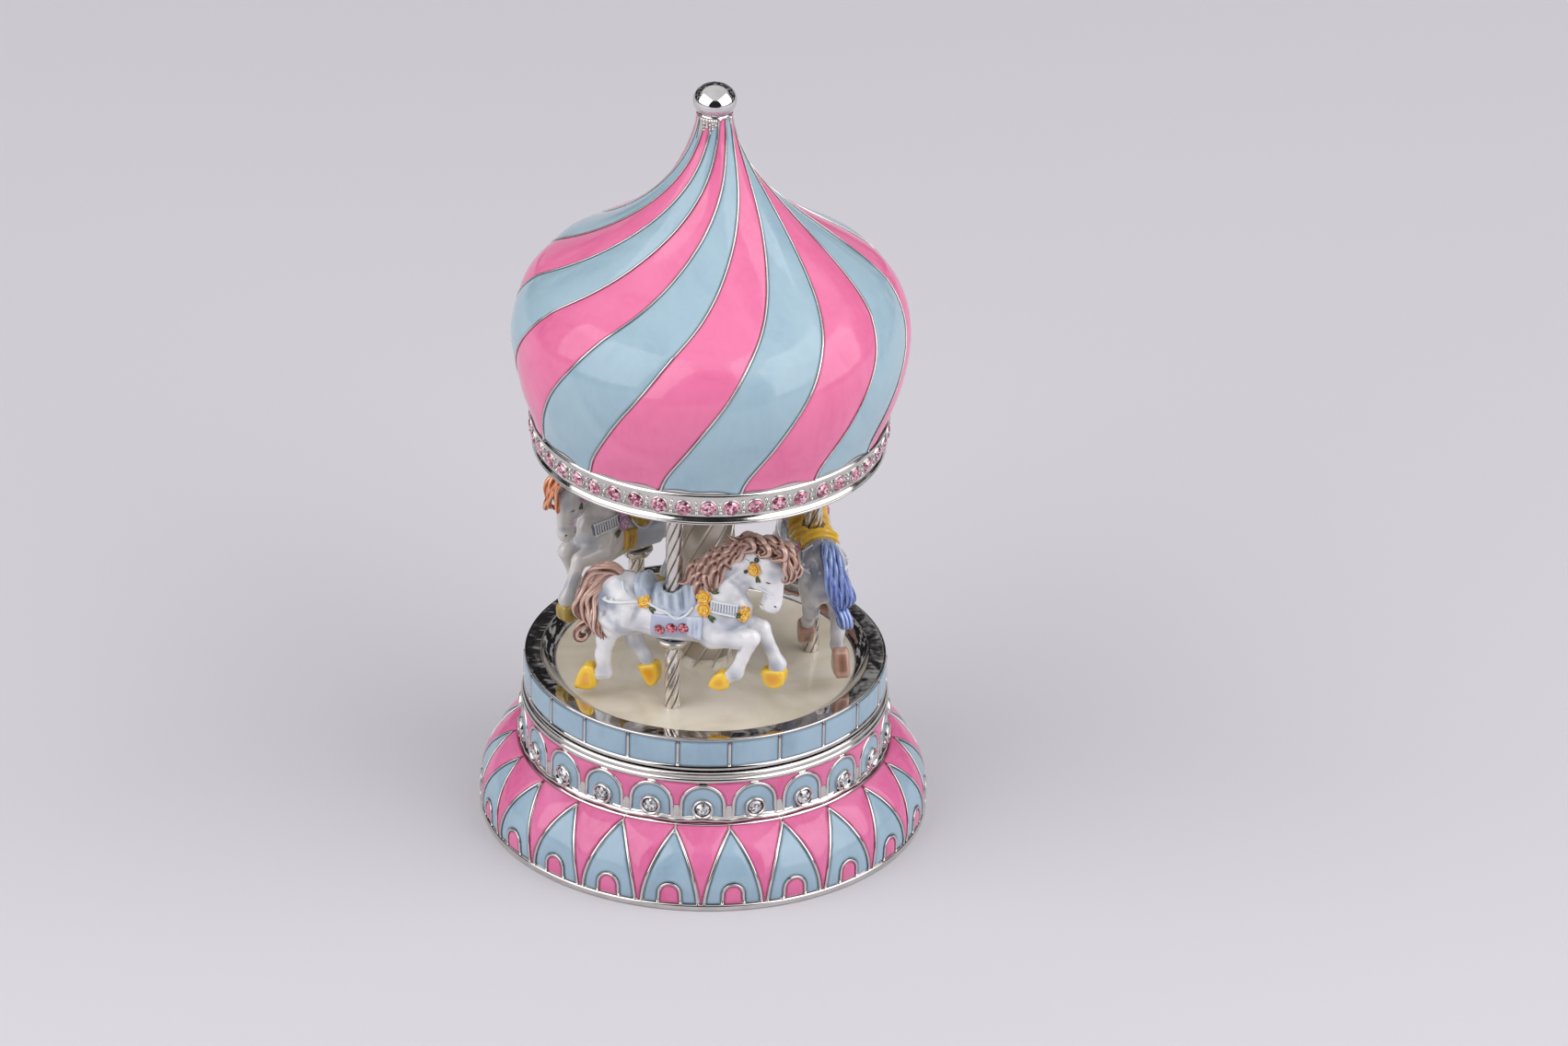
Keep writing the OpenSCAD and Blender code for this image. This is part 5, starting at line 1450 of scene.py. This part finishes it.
# side views of the tail's outer and inner edge, how it swells on the way, and how far each edge leans
TAIL_OUTER = np.array([(-9.4, 25.0), (-11.8, 26.2), (-14.8, 24.9), (-16.7, 21.6),
                       (-17.2, 18.4), (-16.9, 16.6), (-16.4, 15.2)])
TAIL_INNER = np.array([(-9.6, 24.6), (-10.9, 24.7), (-12.6, 23.2), (-14.0, 20.8),
                       (-14.0, 18.2), (-12.9, 15.7), (-11.6, 13.9)])
TAIL_SWELL = np.array([0.3, 0.45, 0.8, 1.0, 0.95, 0.7, 0.45])
LEAN_OUTER = np.array([0, 0, -0.2, -0.8, -1.5, -2.0, -2.3])
LEAN_INNER = np.array([0, 0, -0.4, -1.8, -3.4, -4.8, -5.4])
TAIL_CURL = [(-13.8, -1.2, 17.4, 0.7), (-14.8, -1.8, 15.8, 0.8), (-16.4, -2.6, 14.8, 0.8),
             (-17.3, -3.2, 13.5, 0.75), (-17.0, -3.4, 12.3, 0.7), (-15.9, -3.0, 12.2, 0.6),
             (-15.3, -2.6, 13.1, 0.4), (-15.9, -2.6, 13.8, 0.12)]


def tail(seed):
    """Sweeping tail: strands that arch off the croup, bow out and gather at the foot beside a loose curl."""
    shade = np.random.default_rng(seed)
    strands = Parts()
    radii = [0.6, 0.85, 0.9, 0.85, 0.75, 0.5, 0.1]
    for k, y in enumerate((-1.9, -1.15, -0.4, 0.4, 1.15, 1.9)):
        for f in (0.0, 0.36, 0.7, 1.0):
            w = shade.uniform(-0.3, 0.3, (2, 7)) * np.linspace(0.2, 1, 7)
            spread = y * TAIL_SWELL * (1 - 0.4 * f) + LEAN_OUTER * (1 - f) + LEAN_INNER * f
            along = TAIL_OUTER * (1 - f) + TAIL_INNER * f
            points = np.c_[along[:, 0] + w[0], spread + w[1] * 0.6, along[:, 1] + w[1]]
            strand(strands, wavy(points, radii, 0.34, 2.1, k * 2.1 + f * 5), 0.36, turn=0.05, flat=0.9)
    for y in (-0.7, 0.1, 0.9):
        strand(strands, np.array(TAIL_CURL) + (0, y, 0, 0), turn=0.04, flat=0.9)
    return strands


# blue-grey painted shade on the white bodies, in the hollows and round the legs: x, z, reach, strength
PAINTED_SHADE_SPOTS = [(-13.0, 21.5, 2.6, 1.1), (-9.4, 24.9, 1.5, 0.6), (5.2, 26.0, 1.7, 0.9), (7.8, 28.6, 1.5, 0.7),
          (10.8, 31.0, 1.4, 0.6), (14.4, 28.4, 1.4, 0.6), (19.4, 31.5, 1.3, 0.6), (20.2, 33.6, 1.4, 0.6),
          (17.5, 27.6, 1.0, 0.5), (12.6, 10.4, 1.5, 0.6), (19.0, 11.2, 1.6, 0.8), (17.6, 14.6, 1.4, 0.6),
          (-7.6, 10.6, 2.0, 0.55), (-5.4, 7.6, 1.6, 0.6), (11.6, 16.8, 1.6, 0.4), (13.8, 20.8, 1.4, 0.8),
          (6.9, 16.4, 1.6, 0.5), (-5.6, 17.4, 2.0, 0.4), (-12.3, 6.4, 1.6, 0.5), (-14.6, 17.5, 1.5, 0.6)]
# x, z and seed of each stone of the blanket
BLANKET_STONES = [(-1.1, 17.9, 29), (1.15, 18.55, 51), (3.35, 18.9, 73)]
RED_D = 2.1
CAP = [(1.2, 0), (1.9, 0), (2.3, 0.25), (2.75, 1.0), (3.0, 1.35), (2.9, 1.8), (1.2, 1.8)]


def placed(verts, side):
    """Horse's own millimetres to the carousel's: head turned, on its pole, facing round the ring."""
    x, y = pole_place(side)
    a = math.atan2(y, x) + math.pi / 2
    c, s = math.cos(a), math.sin(a)
    along, across = verts[:, 0], verts[:, 1] * HORSE_SLIM
    share = np.clip((along - 12.5) / 4, 0, 1) * np.clip((verts[:, 2] - 21) / 2, 0, 1)
    share = share * share * (3 - 2 * share)
    yaw, reach, rise = HEADS[side]
    turn = math.radians(yaw) * share
    ahead = along - 13
    along = 13 + reach * share + ahead * np.cos(turn) - across * np.sin(turn)
    across = ahead * np.sin(turn) + across * np.cos(turn)
    height = verts[:, 2] + rise * share + DISC_TOP + LIFTS[side]
    return np.c_[x + along * c - across * s, y + along * s + across * c, height]


def horses():
    """Three castings of one horse, each in its own paints, with their stones and belly bushes."""
    clay = horse_body()
    verts, faces, hollow = clay.skin()
    # painted shade: the listed spots join the hollow measure that the white enamel turns blue-grey
    for x, z, reach, amount in PAINTED_SHADE_SPOTS:
        away = np.hypot(verts[:, 0] - x, verts[:, 2] - z) / reach
        hollow = np.maximum(hollow, 0.016 * amount * np.exp(-away ** 2))
    skins = {"body": (verts, faces, "hollow", hollow)}
    verts, faces, hollow = hooves()
    skins["hooves"] = verts, faces, "shade", np.clip(0.25 - hollow * 90, 0, 1)
    for what, (verts, faces, hollow) in saddlery(clay).items():
        # painted shade: the saddlery goes darker where its skin lies in a hollow
        skins[what] = verts, faces, "shade", np.clip(0.6 - hollow * 55, 0, 1)
    made = dict(zip(("trim", "pearls", "roses", "leaves", "buds"), trim(clay) + flowers(clay)))
    made.update(eyes=eyes(clay), tail=tail(5))
    shared = {"pearls": PEARL, "leaves": GREEN, "buds": INK, "eyes": INK}
    full, short = mane(11), mane(11, crown=False)
    stones, gems, caps = Parts(), Parts(), Parts()
    for x, z, seed in BLANKET_STONES:
        p, n = clay.spot(x, z, -1)
        brilliant(stones, p + n * 0.62, n, UP, RED_D, seed)
    for side in SIDES:
        name = "horse_" + side
        paint = dict(shared)
        for what, (tail_name, *colors) in HORSE_COLORS[side].items():
            paint[what] = RECIPES.get(what, painted)(side + "_" + tail_name, *colors)
        paint["mane"] = paint["tail"] = paint["hair"]
        for what, (verts, faces, key, values) in skins.items():
            mesh(name + "_" + what, placed(verts, side), faces, "carousel", paint[what], "horse_enamel",
                 replaces=(name,) if what == "body" else (), values={key: values})
        made["mane"] = short if side == "left" else full
        for what, parts in made.items():
            parts.mesh(name + "_" + what, "carousel", paint[what], "horse_enamel", "shade", side)
        gems.add(*stones.joined(side))
        cap, faces = revolve(CAP, 48)
        caps.add(cap + (*pole_place(side), CAP_Z[side]), faces)
    gems.mesh("saddle_stones", "carousel", RED_STONE, "red_stone", "facet", smooth=False,
              replaces=("saddle_crystals",))
    caps.mesh("belly_bushes", "carousel", NICKEL, "nickel", replaces=("belly_caps",))


# ---------- CAD nodes that stay ----------

STEEL_NODES = ("comb", "click_spring", "mainspring", "bottom_plate", "tie_rod", "tie_rod_nut")
BRASS_NODES = ("spring_barrel", "barrel_cover", "music_cylinder", "governor_wheel")
ZINC_NODES = ("movement_bedplate", "governor_bracket")


def dress_cad_nodes():
    """Gives the pieces that keep their CAD shape a procedural metal."""
    metals = {name: metal for names, metal in ((STEEL_NODES, STEEL), (BRASS_NODES, BRASS), (ZINC_NODES, ZINC))
              for name in names}
    for name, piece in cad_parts.items():
        metal = metals.get(name, NICKEL)
        if not piece.data.materials:
            piece.data.materials.append(metal)
        for index in range(len(piece.data.materials)):
            piece.data.materials[index] = metal


# ---------- stage ----------

TOP_GLOW, FRONT_GLOW, ROOM_GLOW, BLOTCH_GLOW, BACKDROP = 0.75, 0.5, 0.02, 0.4, 0.66
AIM = Vector((0, 0, 0.06))
ELEVATION = 28.808
DISTANCE = 2.5
# tangents of the angles between the aim point and the middle of the view, and its roll in degrees
TAN_X, TAN_Y, ROLL = -0.0054863, 0.00087468, 0.99


def stage():
    """Pale floor, soft lights, the room that the metal mirrors, and the camera."""
    m = Recipe("studio_paper", Roughness=0.85)
    m.color(m.ramp(m.noise(0.8, 2), (0.3, srgb((208, 206, 211))), (0.7, srgb((211, 209, 214)))))
    half, near, far = 1.2, -1.0, 0.9
    data = bpy.data.meshes.new("studio_floor")
    data.from_pydata([(-half, near, 0), (half, near, 0), (half, far, 0), (-half, far, 0)], [], [(0, 1, 2, 3)])
    data.materials.append(m.material)
    floor = bpy.data.objects.new("studio_floor", data)
    bpy.context.scene.collection.objects.link(floor)

    studio_world()
    softbox("left_softbox", (-0.78, -0.42, 0.62), 7.2)
    softbox("right_softbox", (0.80, -0.34, 0.60), 7.8)

    camera_data = bpy.data.cameras.new("camera")
    camera_data.sensor_width = 36
    camera_data.lens = 319.5
    camera_data.clip_end = 20
    camera = bpy.data.objects.new("camera", camera_data)
    camera.matrix_world = camera_matrix()
    bpy.context.scene.collection.objects.link(camera)
    bpy.context.scene.camera = camera
    bpy.context.scene.view_settings.view_transform = "Standard"


def softbox(name, place, power):
    """Large soft light turned to the middle of the music box."""
    light = bpy.data.lights.new(name, "AREA")
    light.shape, light.size, light.size_y = "RECTANGLE", 1.3, 1.05
    light.energy = power
    lamp = bpy.data.objects.new(name, light)
    lamp.location = place
    lamp.rotation_euler = (Vector((0, 0, 0.07)) - Vector(place)).to_track_quat("-Z", "Y").to_euler()
    bpy.context.scene.collection.objects.link(lamp)


def studio_world():
    """Room that the metal mirrors: grey ceiling and front wall with a dark spot, dark and blotchy behind.

    Seen directly past the floor's edge it is a plain pale backdrop.
    """
    world = bpy.data.worlds.new("studio")
    world.use_nodes = True
    tree = world.node_tree

    def new(kind, *inputs, **values):
        return add_node(tree, kind, inputs, **values)

    def spread(value, *span):
        return new("ShaderNodeMapRange", *enumerate((value, *span))).outputs[0]

    def maths(operation, a, b):
        return new("ShaderNodeMath", (0, a), (1, b), operation=operation).outputs[0]

    direction = new("ShaderNodeTexCoord").outputs["Generated"]
    axes = new("ShaderNodeSeparateXYZ", (0, direction)).outputs
    top = spread(axes[2], 0.5, 0.62, 0.0, TOP_GLOW)
    front = spread(axes[1], -0.1, -0.5, 0.0, FRONT_GLOW)
    away = new("ShaderNodeVectorMath", (0, direction), (1, (0.0, 0.97, -0.24)), operation="ADD").outputs[0]
    away = new("ShaderNodeVectorMath", (0, away), operation="LENGTH").outputs["Value"]
    noise = new("ShaderNodeTexNoise", (0, direction), ("Scale", 7.0), ("Detail", 4.0)).outputs[0]
    level = maths("MAXIMUM", top, front)
    level = maths("MAXIMUM", level, spread(noise, 0.52, 0.58, ROOM_GLOW, BLOTCH_GLOW))
    level = maths("MULTIPLY", level, spread(away, 0.5, 0.62, 0.05, 1.0))
    seen = new("ShaderNodeLightPath").outputs["Is Camera Ray"]
    level = new("ShaderNodeMix", (0, seen), (2, level), (3, BACKDROP)).outputs[0]
    background = tree.nodes["Background"]
    background.inputs["Color"].default_value = (0.98, 0.97, 1.0, 1)
    tree.links.new(level, background.inputs["Strength"])
    bpy.context.scene.world = world


def camera_matrix():
    """Camera turned a little right of and below the aim point, with a slight roll."""
    elevation, roll = math.radians(ELEVATION), math.radians(ROLL)
    back = Vector((0, -math.cos(elevation), math.sin(elevation)))
    right = Vector((1, 0, 0))
    yaw = math.atan(TAN_X)
    tilt = Matrix.Rotation(-math.atan(TAN_Y * math.cos(yaw)), 3, right)
    up = tilt @ right.cross(-back)
    spin = Matrix.Rotation(yaw, 3, up)
    forward, right = spin @ tilt @ -back, spin @ right
    right, up = right * math.cos(roll) + up * math.sin(roll), up * math.cos(roll) - right * math.sin(roll)
    rotation = Matrix((right, up, -forward)).transposed()
    return Matrix.Translation(AIM + back * DISTANCE) @ rotation.to_4x4()


dress_cad_nodes()
base_metal()
arcade()
skirt()
drum()
platform()
column_and_poles()
dome()
rim()
finial()
horses()
stage()
